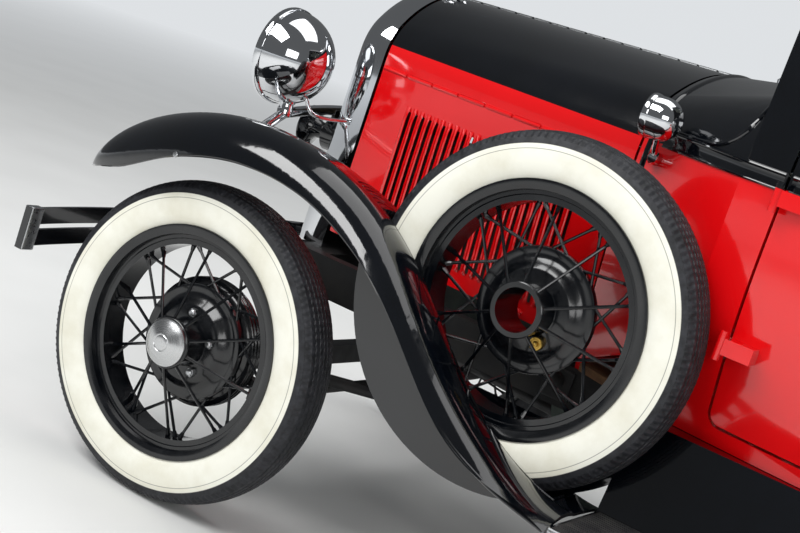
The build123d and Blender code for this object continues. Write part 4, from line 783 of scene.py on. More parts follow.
class SEDAN_OT_wheel_trim(SedanOperator, bpy.types.Operator):
    """Wire wheels, drums, hub caps, lug nuts, valve stems, and the spares' arms and lock nuts"""
    bl_idname = "sedan.wheel_trim"
    bl_label = "Wheels"

    def execute(self, context):
        wheel_enamel(self.settings()[1])
        spun_nickel()
        zinc_plate()
        brass_plate()
        chassis_paint()
        for name, body, hub, side, tyre, wheel in wheels():
            add_piece(f"wire_wheel_{name}", self.wheel(hub, side), body, "wheel_enamel", replaced=wheel)
            stems = joined(nipples(hub, side), self.valve(hub, side))
            add_piece(f"spoke_nipples_{name}", stems, body, "wheel_enamel")
            if body == "car":
                self.spare_fixing("left" if side > 0 else "right", hub, side)
            else:
                self.road_fixing(name, body, hub, side)
        return {"FINISHED"}

    def road_fixing(self, name, body, hub, side):
        """A road wheel's drum, hub cap, collar and lug nuts."""
        axis = (0, side, 0)
        cap = turned(CAP_SECTION, hub, axis, CAP_STEPS)
        nuts = joined(*[lug_nut(lug_place(hub, k), side) for k in range(LUGS)])
        add_piece(f"drum_{name}", turned(DRUM_SECTION, hub, axis, 72), body, "wheel_enamel")
        add_piece(f"hub_cap_{name}", cap, body, "spun_nickel", 30, uv=cap_uv())
        add_piece(f"hub_collar_{name}", turned(COLLAR_SECTION, hub, axis, 48), body, "wheel_enamel")
        add_piece(f"lug_nuts_{name}", nuts, body, "zinc_plate", 30)

    def spare_fixing(self, label, hub, side):
        """A spare's lock nut and its arm."""
        stud = lug_place(hub, LOCK_LUG)
        lock = turned(LOCK_SECTION, stud, (0, side, 0), 32)
        add_piece(f"lock_nut_{label}", lock, "car", "brass_plate", 28)
        arm = self.spare_arm(hub, side, stud)
        add_piece(f"spare_arm_{label}", arm, "car", "chassis_paint", replaced="spare_mounts")

    def wheel(self, hub, side):
        """Rim, hub shell and spokes as one: the rim's and hub's sections turned about the axle, and wires."""
        axis = (0, side, 0)
        wires = [tube([start, end], SPOKE_RADIUS, 8) for start, end in zip(*spoke_ends(hub, side))]
        return joined(turned(RIM_SECTION, hub, axis, 96), turned(HUB_SECTION, hub, axis, 80), *wires)

    def spare_arm(self, hub, side, stud):
        """An arm from the frame rail to an open ring behind the spare's hub, with the lock nut's stud."""
        x, y, z = hub
        section = [(-34.3, 52), (-26.3, 52), (-26.3, 92), (-34.3, 92), (-34.3, 52)]
        ring = turned(section, hub, (0, side, 0), 64)
        arm = tube([(x, y - 30 * side, z - 74), (x, RAIL_SIDE * side, RAIL_HEIGHT)], ARM_RADIUS, 16)
        foot = placed(slab((68, 10, 70), 2), (x, (RAIL_SIDE + 1.3) * side, RAIL_HEIGHT - 5))
        bolt = tube([(stud[0], y + reach * side, stud[2]) for reach in (-32, 14)], STUD_RADIUS, 16)
        return joined(ring, arm, foot, bolt)

    def valve(self, hub, side):
        """A valve stem from the rim's well towards the hub, with its cap."""
        out = np.array([sin(VALVE_ANGLE), 0, cos(VALVE_ANGLE)])
        foot = np.array(hub) + 218 * out + np.array([0, 2 * side, 0])
        lean = -out * 0.92 + np.array([0, 0.39 * side, 0])
        reaches, sizes = (0, 20, 21, 33, 34), [3.6, 3.4, 4.6, 4.6, 2.2]
        return tube([foot + reach * lean for reach in reaches], sizes, 10)


BELT_SECTION = np.array([
    # outwards, up: two beads on a flat band
    (-3, -19), (2, -19), (4.6, -17.5), (5.6, -15), (4.6, -12.5), (2.6, -11), (2, -8), (2, 8), (2.6, 11),
    (4.6, 12.5), (5.6, 15), (4.6, 17.5), (2, 19), (-3, 19),
])
GUTTER_SECTION = np.array([(-4, -5), (9, -5), (12, 0), (12, 5), (9.5, 5), (9, 0), (-4, 1)])
GUTTER_HEIGHT = 1655
# The rolled edges of the left fenders
FRONT_LIP = [
    (386, 742, 646), (340, 782, 660), (250, 812, 688), (91, 842, 762), (-82, 850, 802), (-260, 850, 788),
    (-431, 850, 714), (-560, 850, 612), (-690, 850, 492), (-831, 850, 424), (-978, 848, 389),
]
REAR_LIP = [
    (-2157, 848, 389), (-2189, 850, 470), (-2269, 850, 600), (-2409, 850, 712), (-2609, 850, 762),
    (-2809, 850, 730), (-2969, 850, 622), (-3069, 836, 496), (-3115, 812, 408),
]
LIP_RADIUS, LIP_INSET = 4.6, (0, 6, 0)
# A place across the car that is clear of its side, and where the mouldings along it begin and end
OUTSIDE = 900.0
DOOR_BELT, COWL_BELT, SIDE_BELT, GUTTER = (-1114, -2008), (-800, -1098), (-2024, -3060), (-1128, -3060)
BACK_CORNER, BACK_INSIDE = (-3075.0, 455.0), -3000.0
# The windshield pillar's bead as x and z
PILLAR_SWEEP = [(-800, 1153), (-900, 1155), (-950, 1168), (-984, 1204), (-1002, 1270), (-1010, 1360)]
COWL_ARCH = (-768, 0, 940)


def side_path(node, stations, heights):
    """Places on a node's left side at stations along X and heights."""
    stations = np.asarray(stations, float)
    heights = np.broadcast_to(np.asarray(heights, float), stations.shape)
    starts = np.stack([stations, np.full(len(stations), OUTSIDE), heights], 1)
    return on_skin(node, starts, starts * (1, 0, 1))


def belt_round_back(z):
    """The belt from each door's rear edge round the back corners: places on the body's skin met by level
    lines towards the side, then the corner's centre, then the back."""
    side_aim = np.stack([np.linspace(*SIDE_BELT, 36), np.full(36, 300.0), np.full(36, z)], 1)
    side_way = np.tile([0.0, 1.0, 0.0], (36, 1))
    turn = np.radians(np.linspace(6, 84, 14))
    corner_aim = np.tile([*BACK_CORNER, z], (14, 1))
    corner_way = np.stack([-np.sin(turn), np.cos(turn), np.zeros(14)], 1)
    back_aim = np.stack([np.full(40, BACK_INSIDE), np.linspace(450, -450, 40), np.full(40, z)], 1)
    back_way = np.tile([-1.0, 0.0, 0.0], (40, 1))
    left_aim = np.concatenate([side_aim, corner_aim])
    left_way = np.concatenate([side_way, corner_way])
    aim = np.concatenate([left_aim, back_aim, left_aim[::-1] * (1, -1, 1)])
    way = np.concatenate([left_way, back_way, left_way[::-1] * (1, -1, 1)])
    return carried(on_skin("body_tub", aim + way * 700, aim), way, UP, BELT_SECTION)


class SEDAN_OT_paint(SedanOperator, bpy.types.Operator):
    """Paint, iron and glass on the body, frame and engine"""
    bl_idname = "sedan.paint"
    bl_label = "Paint and metal"

    def execute(self, context):
        sizes, colours = self.settings()
        black_enamel(colours)
        red_enamel(colours)
        two_tone_enamel(colours, sizes)
        chrome_plate()
        engine_iron()
        pipe_steel()
        window_glass()
        fluted_glass()
        floor_boards()
        hard_rubber()
        radiator_brass()
        finishes = {
            "black_enamel": ("front_fender_left", "front_fender_right", "rear_fenders", "running_boards",
                             "front_bumper", "rear_bumper", "roof", "windshield_frame", "rear_lamps",
                             "steering_column"),
            "two_tone_enamel": ("cowl", "body_tub", "door_left", "door_right", "hood_top_left",
                                "hood_top_right"),
            "chassis_paint": ("frame_rails", "front_axle", "front_spring", "rear_axle", "rear_spring",
                              "knuckle_left", "knuckle_right", "tie_rod"),
            "zinc_plate": ("hood_hinge",),
            "engine_iron": ("engine_block",),
            "pipe_steel": ("exhaust",),
            "window_glass": ("fixed_glass", "door_glass_left", "door_glass_right"),
            "floor_boards": ("floor",),
            "hard_rubber": ("steering_wheel",),
            "radiator_brass": ("radiator_core",),
        }
        for material, nodes in finishes.items():
            for node in nodes:
                finish_node(node, material)
        return {"FINISHED"}


class SEDAN_OT_mouldings(SedanOperator, bpy.types.Operator):
    """Belt mouldings, cowl beads, drip rails and rolled fender edges"""
    bl_idname = "sedan.mouldings"
    bl_label = "Mouldings"

    def execute(self, context):
        z = self.settings()[0].belt_height
        door = side_path("door_left", np.linspace(*DOOR_BELT, 40), z)
        add_pair("belt_door", carried(door, ACROSS, UP, BELT_SECTION), "door_SIDE", "black_enamel")
        turn = np.radians(np.linspace(-6, 186, 60))
        out = np.stack([np.zeros(60), np.cos(turn), np.sin(turn)], 1)
        arch = on_skin("cowl", np.array(COWL_ARCH) + out * OUTSIDE, COWL_ARCH)
        round_it = np.linspace(0, 2 * pi, 10, endpoint=False)
        bead = np.stack([np.cos(round_it), np.sin(round_it)], 1)
        cowl = side_path("cowl", np.linspace(*COWL_BELT, 16), z)
        sweep = smooth_path(PILLAR_SWEEP, 40)
        pillar = side_path("cowl", sweep[:, 0], sweep[:, 1])
        gutter = side_path("body_tub", np.linspace(*GUTTER, 60), GUTTER_HEIGHT)
        rear_lip = tube(smooth_path(REAR_LIP, 120) - LIP_INSET, LIP_RADIUS, 10)
        black_pieces = {
            "belt_cowl": both(carried(cowl, ACROSS, UP, BELT_SECTION)),
            "belt_body": belt_round_back(z),
            "cowl_bead": carried(arch, out[:len(arch)] * 5, (8, 0, 0), bead),
            "pillar_bead": both(tube(pillar, 5, 10)),
            "drip_rails": both(carried(gutter, ACROSS, UP, GUTTER_SECTION)),
            "rear_lips": both(rear_lip),
        }
        for name, shape in black_pieces.items():
            add_piece(name, shape, "car", "black_enamel")
        front_lip = tube(smooth_path(FRONT_LIP, 140) - LIP_INSET, LIP_RADIUS, 10)
        add_pair("front_lip", front_lip, "car", "black_enamel")
        head = [(-3, 0), (-3, 6.5), (0.5, 6.5), (2.2, 4.8), (3, 0)]
        screw = turned(head, (91, 842, 763), (0, 1, 0.15), 20)
        add_piece("fender_screws", both(screw), "car", "zinc_plate")
        return {"FINISHED"}


HOOD_FRONT, HOOD_LENGTH, HOOD_THICKNESS = 4, 748, 4
SHELL_HALF_WIDTH, COWL_HALF_WIDTH = 286, 440
SHELL_TUCK, COWL_TUCK = 1, 80
HINGE_HEIGHT, SIDE_DROP = 1065, 419
# Heights of the side's sheet below the louvres and above them, and its stations before and behind them
BELOW_LOUVRES, ABOVE_LOUVRES = (646, 665), (1030, 1062)
BEFORE_LOUVRES, BEHIND_LOUVRES = (1, -50), (-690, -741)
HINGE_PIN, HINGE_RADIUS, HINGE_BARRELS = 742, 5.5, 9
LOUVRES = np.linspace(-115, -627, 24)
LOUVRE_FOOT, LOUVRE_HEAD, LOUVRE_THICKNESS = 684, 1000, 1.8
LATCHES, LATCH_HEIGHT = (-205.0, -560.0), 668
TOP_HINGE = np.array([(4.0, 0, 1280), (-744.0, 0, 1304)])


def hood_side(x, z, out=0.0):
    """Places on the left hood side, so far out from it: half width 286 to 440 from the shell to the cowl,
    less a tuck of 1 to 80 mm times the square of the share of the way down from the hinge line."""
    part = (HOOD_FRONT - x) / HOOD_LENGTH
    width = SHELL_HALF_WIDTH + (COWL_HALF_WIDTH - SHELL_HALF_WIDTH) * part
    tuck = SHELL_TUCK + (COWL_TUCK - SHELL_TUCK) * part
    y = width - tuck * ((HINGE_HEIGHT - z) / SIDE_DROP) ** 2 + out
    return np.stack(np.broadcast_arrays(x, y, z), -1)


class SEDAN_OT_hood(SedanOperator, bpy.types.Operator):
    """Louvred hood sides with their hinge barrels and latches"""
    bl_idname = "sedan.hood"
    bl_label = "Hood sides"

    def execute(self, context):
        side = joined(self.panel(), *self.louvres(), *self.hinge(), *self.latches())
        add_pair("hood_panel", side, "hood_side_SIDE", "red_enamel", replaced="hood_side_SIDE")
        return {"FINISHED"}

    def panel(self):
        """The side's sheet with an upright slot behind each louvre."""
        slots = np.stack([LOUVRES + 2.5, LOUVRES - 11], 1).ravel()
        slot_heights = np.linspace(LOUVRE_FOOT + 6, LOUVRE_HEAD - 12, 12)
        x = np.concatenate([BEFORE_LOUVRES, slots, BEHIND_LOUVRES])
        z = np.concatenate([BELOW_LOUVRES, slot_heights, ABOVE_LOUVRES])
        grid_x, grid_z = np.meshgrid(x, z, indexing="ij")
        keep = np.ones((len(x) - 1, len(z) - 1), bool)
        keep[2:2 + 2 * len(LOUVRES):2, 2:13] = False
        return plate(hood_side(grid_x, grid_z), hood_side(grid_x, grid_z, -HOOD_THICKNESS), keep)

    def louvres(self):
        """A skin 1.8 mm thick over each slot that rises 8 mm from its front edge to its open rear, and runs
        out at both ends."""
        foot, head = LOUVRE_FOOT, LOUVRE_HEAD
        middle = np.linspace(foot + 16, head - 30, 8)
        z = np.concatenate([[foot, foot + 5, foot + 10], middle, [head - 20, head - 10, head]])
        ends = np.clip(np.minimum((z - foot) / 16, (head - z) / 30), 0, 1)
        across = np.array([7.0, 4.0, 0.0, -3.5, -6.5])
        rise = np.array([0.0, 2.6, 6.0, 7.8, 8.2])
        out = rise[:, None] * np.sin(ends * pi / 2)[None, :] + 0.2
        made = []
        for station in LOUVRES:
            grid_x, grid_z = np.meshgrid(station + across, z, indexing="ij")
            inside = hood_side(grid_x, grid_z, out - LOUVRE_THICKNESS)
            made.append(plate(hood_side(grid_x, grid_z, out), inside))
        return made

    def hinge(self):
        """Every second of nine barrels along the hinge line, about the top's pin."""
        made = []
        for k in range(1, HINGE_BARRELS, 2):
            x = 1 - HINGE_PIN * (k + np.array([0.04, 0.96])) / HINGE_BARRELS
            made.append(tube(hood_side(x, float(HINGE_HEIGHT), -2.0), HINGE_RADIUS, 16))
        return made

    def latches(self):
        """Two turn handles low on the side."""
        made = []
        boss = [(-8, 0), (-8, 9), (8, 9), (10, 6), (10, 0)]
        bar = np.array([(-24, 10, -7), (-8, 11, -2), (8, 11, 2), (24, 10, 7)])
        for x in LATCHES:
            place = hood_side(x, float(LATCH_HEIGHT))
            made += [turned(boss, place, ACROSS, 24), tube(place + bar, 5, 12)]
        return made


LAMP = (193, 400, 1015)
LAMP_BAR_X, LAMP_BAR_FOOT, LAMP_BAR_CROWN, LAMP_BAR_RADIUS = 158, 884, 925, 13
LAMP_ARM_FOOT = (125, 574, 806)
CONDUIT_END = [(78, 340, 903), (48, 282, 912)]
HORN_PLACE = (98, 190, 857)
COWL_LAMP = (-804, 520, 1170)
SHELL_STATIONS = [
    # x, inset
    (10, 0), (22, -1.6), (40, -2.6), (60, -1), (74, 4), (84, 10), (90, 17), (92, 25),
]
# Turned sections as along and radius
LAMP_LIP = [
    (1, 114.2), (1.5, 117), (3, 118.2), (15, 118.6), (20, 117), (22.5, 113), (23, 108), (22, 104),
    (6, 104), (5, 108.5),
]
LAMP_SOCKET = [(-6, 0), (-6, 19), (8, 19), (12, 17), (22, 16), (26, 19), (32, 19), (36, 0)]
COWL_LAMP_FRONT = [
    (20, 45), (21, 46), (24, 47), (30, 47.4), (34, 46), (37, 40), (40, 30), (42.5, 17), (43.5, 0),
]
HORN_SECTION = [
    (0, 0), (0, 30), (6, 42), (52, 42), (58, 34), (60, 20), (86, 22), (104, 34), (114, 54), (118, 54),
    (118, 50), (106, 28), (90, 12), (90, 0),
]
CAP_NECK = (51, 0, 0)
RADIATOR_CAP = [
    (1296, 24), (1296, 33), (1306, 34), (1312, 38.5), (1322, 39.5), (1330, 38.5), (1334, 33), (1338, 24),
    (1344, 18), (1350, 13), (1353, 6), (1354, 0),
]
BADGE = [(90, 0), (93.2, 0), (93.2, 9.5), (92.6, 11), (94.4, 12), (94.4, 13.5), (90, 14.5), (90, 0)]
BULB = [(150, 0), (152, 12), (160, 17), (172, 18), (182, 13), (186, 0)]
CORE_FACE, CORE_HALF_WIDTH, FIN_PITCH = 66, 234, 9
TOP_BARRELS, SLEEVE_RADIUS = 15, 10.25


def panel_outline(width, foot, spring, top, shoulder):
    """A section across the car as y and z: upright sides, round shoulders about (width - shoulder, spring),
    and a crown whose arc meets them without a corner."""
    rise = top - spring
    crown = ((width - shoulder) ** 2 + rise ** 2 - shoulder ** 2) / (2 * (rise - shoulder))
    slope = atan2(spring - top + crown, width - shoulder)
    round_it = np.linspace(0, slope, 12)
    side = np.stack([np.full(8, float(width)), np.linspace(foot, spring, 9)[:8]], 1)
    knee = np.stack([width - shoulder + shoulder * np.cos(round_it), spring + shoulder * np.sin(round_it)], 1)
    over = np.linspace(slope, pi - slope, 25)[1:-1]
    lid = np.stack([crown * np.cos(over), top - crown + crown * np.sin(over)], 1)
    right = np.concatenate([side, knee])
    return np.concatenate([right, lid, right[::-1] * (-1, 1)])


def shell_shape():
    """The radiator shell: sections drawn in by an inset at stations from the hood to the front, then back
    along its opening, and the filler's neck."""
    rings = [(x, panel_outline(SHELL_HALF_WIDTH - inset, 600.3, 1090, 1286 - inset, 130 - inset))
             for x, inset in SHELL_STATIONS]
    opening = panel_outline(240, 646.3, 1080, 1228, 104)
    rings += [(92, opening), (50, opening), (10, opening)]
    grid = np.stack([np.concatenate([np.full((len(o), 1), float(x)), o], 1) for x, o in rings], 1)
    neck = turned([(1256, 0), (1256, 26), (1300, 26), (1300, 0)], CAP_NECK, UP, 40)
    return joined((grid.reshape(-1, 3), [grid_faces(grid.shape[0], grid.shape[1], True, True)]), neck)


def bowl_section(back, radius, count):
    """A lamp bowl's section from its back to its rim: at angle t, from 0 to 88 degrees, it stands at
    back + radius (1 - cos t) along, and at radius sin t from the middle."""
    turn = np.radians(np.linspace(0, 88, count))
    return np.stack([back + radius * (1 - np.cos(turn)), radius * np.sin(turn)], 1)


class SEDAN_OT_lamps(SedanOperator, bpy.types.Operator):
    """Radiator shell, headlamps, their arched bar and conduits, and the horn beside the left lamp"""
    bl_idname = "sedan.lamps"
    bl_label = "Headlamps and horn"

    def execute(self, context):
        add_piece("radiator_surround", shell_shape(), "car", "chrome_plate", 50, replaced="radiator_shell")
        add_pair("headlamp", self.headlamp(), "car", "chrome_plate", 40, "lamp_bowls")
        add_pair("headlamp_lens", self.lens(), "car", "fluted_glass", 40, "lamp_lenses")
        add_piece("headlamp_bar", self.bar(), "car", "chrome_plate", 40, replaced="lamp_bar")
        lamps = both(self.cowl_lamp())
        add_piece("cowl_lamp_pair", lamps, "car", "chrome_plate", 40, replaced="cowl_lamps")
        strap = placed(slab((10, 24, 60), 2), (149, 190, 890))
        horn = joined(turned(HORN_SECTION, HORN_PLACE, ALONG, 48), strap)
        add_piece("horn", horn, "car", "black_enamel", 30)
        return {"FINISHED"}

    def headlamp(self):
        """The left bowl with its rolled lip, the socket on the bar and the wire's conduit to the shell."""
        x, y, z = LAMP
        outside, inside = bowl_section(-110, 114.1, 20), bowl_section(-105, 109.1, 20)
        section = np.concatenate([outside, LAMP_LIP, inside[::-1]])
        bowl = turned(section, LAMP, ALONG, 96)
        socket = turned(LAMP_SOCKET, (LAMP_BAR_X, y, LAMP_BAR_FOOT + 3), UP, 40)
        run = [(x - 72, y - 14, z - 78), (x - 94, y - 24, z - 108), *CONDUIT_END]
        conduit = joined(tube(smooth_path(run, 24), 5, 12), tube([(49, 292, 911.5), (47, 280, 912.5)], 8, 20))
        return joined(bowl, socket, conduit)

    def lens(self):
        """The left glass: two faces that rise towards the middle with the square of the share of the way."""
        share = np.linspace(0, 1, 10)
        radius = 103.8 * (1 - share)
        front = np.stack([20 + 9 * (1 - (1 - share) ** 2), radius], 1)
        rear = np.stack([6 + 10 * (1 - (1 - share) ** 2), radius], 1)[::-1]
        return turned(np.concatenate([rear, front]), LAMP, ALONG, 96)

    def bar(self):
        """The arched bar between the lamps and its arms down to the fenders."""
        low, crown, half_span = LAMP_BAR_FOOT, LAMP_BAR_CROWN, LAMP[1]
        y = np.linspace(-half_span, half_span, 41)
        bend = (half_span ** 2 + (crown - low) ** 2) / (2 * (crown - low))
        arch = np.stack([y * 0 + LAMP_BAR_X, y, crown - bend + np.sqrt(bend ** 2 - y ** 2)], 1)
        arm = [(LAMP_BAR_X, half_span - 4, low + 1), (LAMP_BAR_X, half_span + 4, low - 2), LAMP_ARM_FOOT]
        return joined(tube(arch, LAMP_BAR_RADIUS, 20), both(tube(arm, LAMP_BAR_RADIUS, 20)))

    def cowl_lamp(self):
        """The left cowl lamp with its stem and foot."""
        section = np.concatenate([bowl_section(-40, 45.3, 14), COWL_LAMP_FRONT])
        stem = tube([(-804, 520, 1134), (-802, 508, 1112), (-800, 496, 1099)], 7, 14)
        foot = turned([(440, 0), (440, 14), (492, 14), (499, 10), (501, 0)], (-800, 0, 1090), ACROSS, 32)
        return joined(turned(section, COWL_LAMP, ALONG, 64), stem, foot)


class SEDAN_OT_front(SedanOperator, bpy.types.Operator):
    """Radiator tubes, cap and badge, lamp bulbs and hood hinge caps"""
    bl_idname = "sedan.front"
    bl_label = "Radiator, lamps and hood trim"

    def execute(self, context):
        core = self.core(self.settings()[0].core_pitch)
        add_piece("radiator_tubes", core, "car", "radiator_brass", 30)
        wings = both(placed(slab((16, 26, 9), 4), (51, 45, 1323)))
        cap = joined(turned(RADIATOR_CAP, CAP_NECK, UP, 48), wings)
        add_piece("radiator_cap", cap, "car", "chrome_plate", 30)
        points, faces = turned(BADGE, (0, 0, 0), ALONG, 48)
        oval = (points * (1, 1.6, 1) + (0, 0, 1244), faces)
        add_piece("radiator_badge", oval, "car", "black_enamel", 30)
        bulb = turned(BULB, (0, LAMP[1], LAMP[2]), ALONG, 24)
        add_pair("lamp_bulb", bulb, "car", "window_glass", 40)
        for first, side in enumerate(("left", "right")):
            caps = self.hinge_caps(first)
            add_piece(f"hinge_caps_{side}", caps, f"hood_top_{side}", "zinc_plate", 40)
        return {"FINISHED"}

    def core(self, pitch):
        """Upright tubes a pitch apart over the radiator's front, each ending where the core's outline does,
        with level fins across them."""
        y = np.arange(-CORE_HALF_WIDTH, CORE_HALF_WIDTH + 0.1, pitch)
        z = np.arange(660, 1215, FIN_PITCH)

        def met(start, end):
            """Where lines in the core's front plane, between places given as y and z, meet its outline."""
            lines = [np.stack(np.broadcast_arrays(CORE_FACE, *place), 1) for place in (start, end)]
            return on_skin("radiator_core", *lines)
        high, low = met((y, 1400), (y, 640)), met((y, 600), (y, 1200))
        turn = np.radians(np.arange(0, 360, 45))
        oval = np.stack([2.4 * np.cos(turn), 1.6 * np.sin(turn)], 1)
        tubes = [carried([(75.5, a[1], a[2] + 1), (75.5, b[1], b[2] - 1)], ALONG, ACROSS, oval)
                 for a, b in zip(low, high)]
        fin = np.array([(-1.6, -0.5), (1.6, -0.5), (1.6, 0.5), (-1.6, 0.5)])
        fins = [carried([(75, -w[1] + 1, w[2]), (75, w[1] - 1, w[2])], ALONG, UP, fin)
                for w in met((400, z), (0, z))]
        return joined(*tubes, *fins)

    def hinge_caps(self, first):
        """Bright sleeves on every second of the 15 barrels of the hood's centre hinge."""
        front, rear = TOP_HINGE
        sleeves = []
        for k in range(first, TOP_BARRELS, 2):
            start = max((k + 0.07) / TOP_BARRELS, 0.008)
            end = min((k + 0.93) / TOP_BARRELS, 0.992)
            ends = [front + (rear - front) * share for share in (start, end)]
            sleeves.append(tube(ends, SLEEVE_RADIUS, 20))
        return joined(*sleeves)


BUMPERS = (
    # x, which way it faces
    (455, 1), (-3514, -1),
)
BOLT_SECTION = [(8, 0), (8, 7.5), (14.5, 7.5), (16, 6), (18.5, 0)]
HANDLE_X, HANDLE_HEIGHT = -1922, 1080
HANDLE_GRIP = [
    (-1922, 672, 1080), (-1922, 688, 1080), (-1912, 697, 1080), (-1880, 698, 1080), (-1840, 694, 1079),
    (-1818, 690, 1078),
]
HANDLE_ROSE = [(634, 0), (634, 24), (650, 24), (655, 20), (657, 12), (657, 0)]
TAIL_LAMP = (-3262, 540, 720)
TAIL_LENS = [(69, 0), (69, 36), (73, 36), (77, 27), (80, 14), (81, 0)]
TAIL_RING = [(60, 42), (60, 46), (66, 47), (72, 44.5), (75, 40), (74, 36), (70, 36), (60, 42)]
FILLER_X = -880
FILLER_SECTION = [
    # above the cowl, radius
    (-4, 0), (-4, 44), (4, 45), (9, 40), (10, 34), (20, 33), (23, 28), (24, 10), (24, 0),
]
STEP_HEIGHT = 401.2
RIB_PITCH = 13.0
ROOF_GRID = (44, 24)


class SEDAN_OT_fittings(SedanOperator, bpy.types.Operator):
    """Bumper clamps, step mats, door handles, tail lamps, filler cap and wiper"""
    bl_idname = "sedan.fittings"
    bl_label = "Outside fittings"

    def execute(self, context):
        ruby_glass()
        ribbed_rubber()
        roof_long_grain()
        add_piece("bumper_clamps", both(self.clamps()), "car", "zinc_plate", 30)
        add_piece("step_mats", both(self.step_mat()), "car", "ribbed_rubber", 30)
        edge = tube([(-990, 843.5, 396), (-2145, 843.5, 396)], 6, 10)
        add_piece("step_edges", both(edge), "car", "zinc_plate")
        size = np.interp(np.arange(40), [0, 12, 30, 38, 39], [10, 13, 12, 9, 5])
        rose = turned(HANDLE_ROSE, (HANDLE_X, 0, HANDLE_HEIGHT), ACROSS, 32)
        handle = joined(tube(smooth_path(HANDLE_GRIP, 40), size, 16), rose)
        add_pair("handle", handle, "door_SIDE", "chrome_plate", 40)
        add_pair("tail_lens", turned(TAIL_LENS, TAIL_LAMP, (-1, 0, 0), 40), "car", "ruby_glass", 30)
        add_pair("tail_ring", turned(TAIL_RING, TAIL_LAMP, (-1, 0, 0), 48), "car", "chrome_plate", 40)
        add_piece("filler_cap", self.filler(), "car", "chrome_plate", 30)
        add_piece("wiper", self.wiper(), "car", "zinc_plate")
        add_piece("roof_cloth", self.roof_panel(), "car", "roof_long_grain", 30)
        return {"FINISHED"}

    def clamps(self):
        """The left clamp of each bumper with its two bolts."""
        made = []
        for x, out in BUMPERS:
            made.append(placed(slab((24, 40, 104), 4), (x - out * 6, 814.5, 464.5)))
            for z in (438, 491):
                made.append(turned(BOLT_SECTION, (x - out * 4, 812, z), (out, 0, 0), 24, 6))
        return joined(*made)

    def filler(self):
        """The filler cap on top of the cowl."""
        above = [(FILLER_X, 0, 1500), (FILLER_X - 2, 0, 1500)]
        below = [(FILLER_X, 0, 1200), (FILLER_X - 2, 0, 1200)]
        top = on_skin("cowl", above, below)[0][2]
        return turned([(top + rise, radius) for rise, radius in FILLER_SECTION], (FILLER_X, 0, 0), UP, 40)

    def wiper(self):
        """The wiper's pivot above the windshield, its arm and its blade."""
        arm = smooth_path([(-1008, 120, 1640), (-1001, 124, 1600), (-999, 150, 1500), (-1001, 170, 1430)], 24)
        blade = tube([(-1004, 176, 1560), (-1004, 172, 1400)], 4, 8)
        boss = [(-1022, 0), (-1022, 11), (-1004, 11), (-1000, 7), (-1000, 0)]
        return joined(tube(arm, 3, 8), blade, turned(boss, (0, 120, 1640), ALONG, 24))

    def step_mat(self):
        """A mat 3 mm thick on the running board, with ribs along it 13 mm apart."""
        mat = placed(slab((1150, 236, 3), 1.2), (-1567, 720, STEP_HEIGHT))
        y = np.arange(612, 830, RIB_PITCH)
        section = [(-3.4, -1), (3.4, -1), (2.2, 2.4), (-2.2, 2.4)]
        rib = carried([(-2138, 0, 402), (-996, 0, 402)], ACROSS, UP, section)
        return joined(mat, repeated(rib, np.stack([y * 0, y, y * 0], 1)))

    def roof_panel(self):
        """The cloth top: a grid laid on the roof by upright lines, 2 mm proud, with its border 3 mm below
        the roof so that it closes."""
        top = roof_grid(ROOF_GRID, (-1160, -3000), 430, 1900, -300)
        rise = np.full(ROOF_GRID, 2.0)
        rise[0], rise[-1], rise[:, 0], rise[:, -1] = -3, -3, -3, -3
        return plate(top + rise[..., None] * (0, 0, 1), top - (0, 0, 6))


def roof_grid(size, ends, half_width, height, reach):
    """A grid of places on the roof, met by upright lines from a height over so long a reach."""
    x, y = np.meshgrid(np.linspace(*ends, size[0]), np.linspace(-half_width, half_width, size[1]),
                       indexing="ij")
    starts = np.stack([x.ravel(), y.ravel(), np.full(x.size, float(height))], 1)
    found = on_skin("roof", starts, starts + (0, 0, reach))
    if len(found) != x.size:
        raise RuntimeError("the upright lines miss the roof")
    return found.reshape(*size, 3)


DIAL_HEIGHT = 1212
DIALS = (
    # y, radius
    (-82, 30), (0, 38), (82, 30),
)
KNOB = [(-6.1, 0), (-6, 22), (4, 27), (20, 27), (32, 20), (38, 8), (39, 0)]
LEVER = [(-1150, 0, 612), (-1170, 0, 700), (-1230, 0, 820), (-1296, 0, 900)]
BRAKE = [(-1120, -70, 612), (-1140, -70, 700), (-1200, -70, 800), (-1250, -70, 860)]
LEVER_BOOT = [(0, 0), (0, 40), (14, 34), (26, 20), (30, 0)]
CLUTCH_Y, BRAKE_PEDAL_Y, GAS_Y = 420, 260, 150
TRIM_PANELS = (
    # name, node under it, body, front, rear
    ("trim_door", "door_left", "door_SIDE", -1150, -1970),
    ("trim_quarter", "body_tub", "car", -2060, -2920),
)
TRIM_GRID = (18, 14)
CRANK, CRANK_KNOB, PULL = (-1420, 594, 980), (-1470, 578, 930), (-1900, 606, 1010)


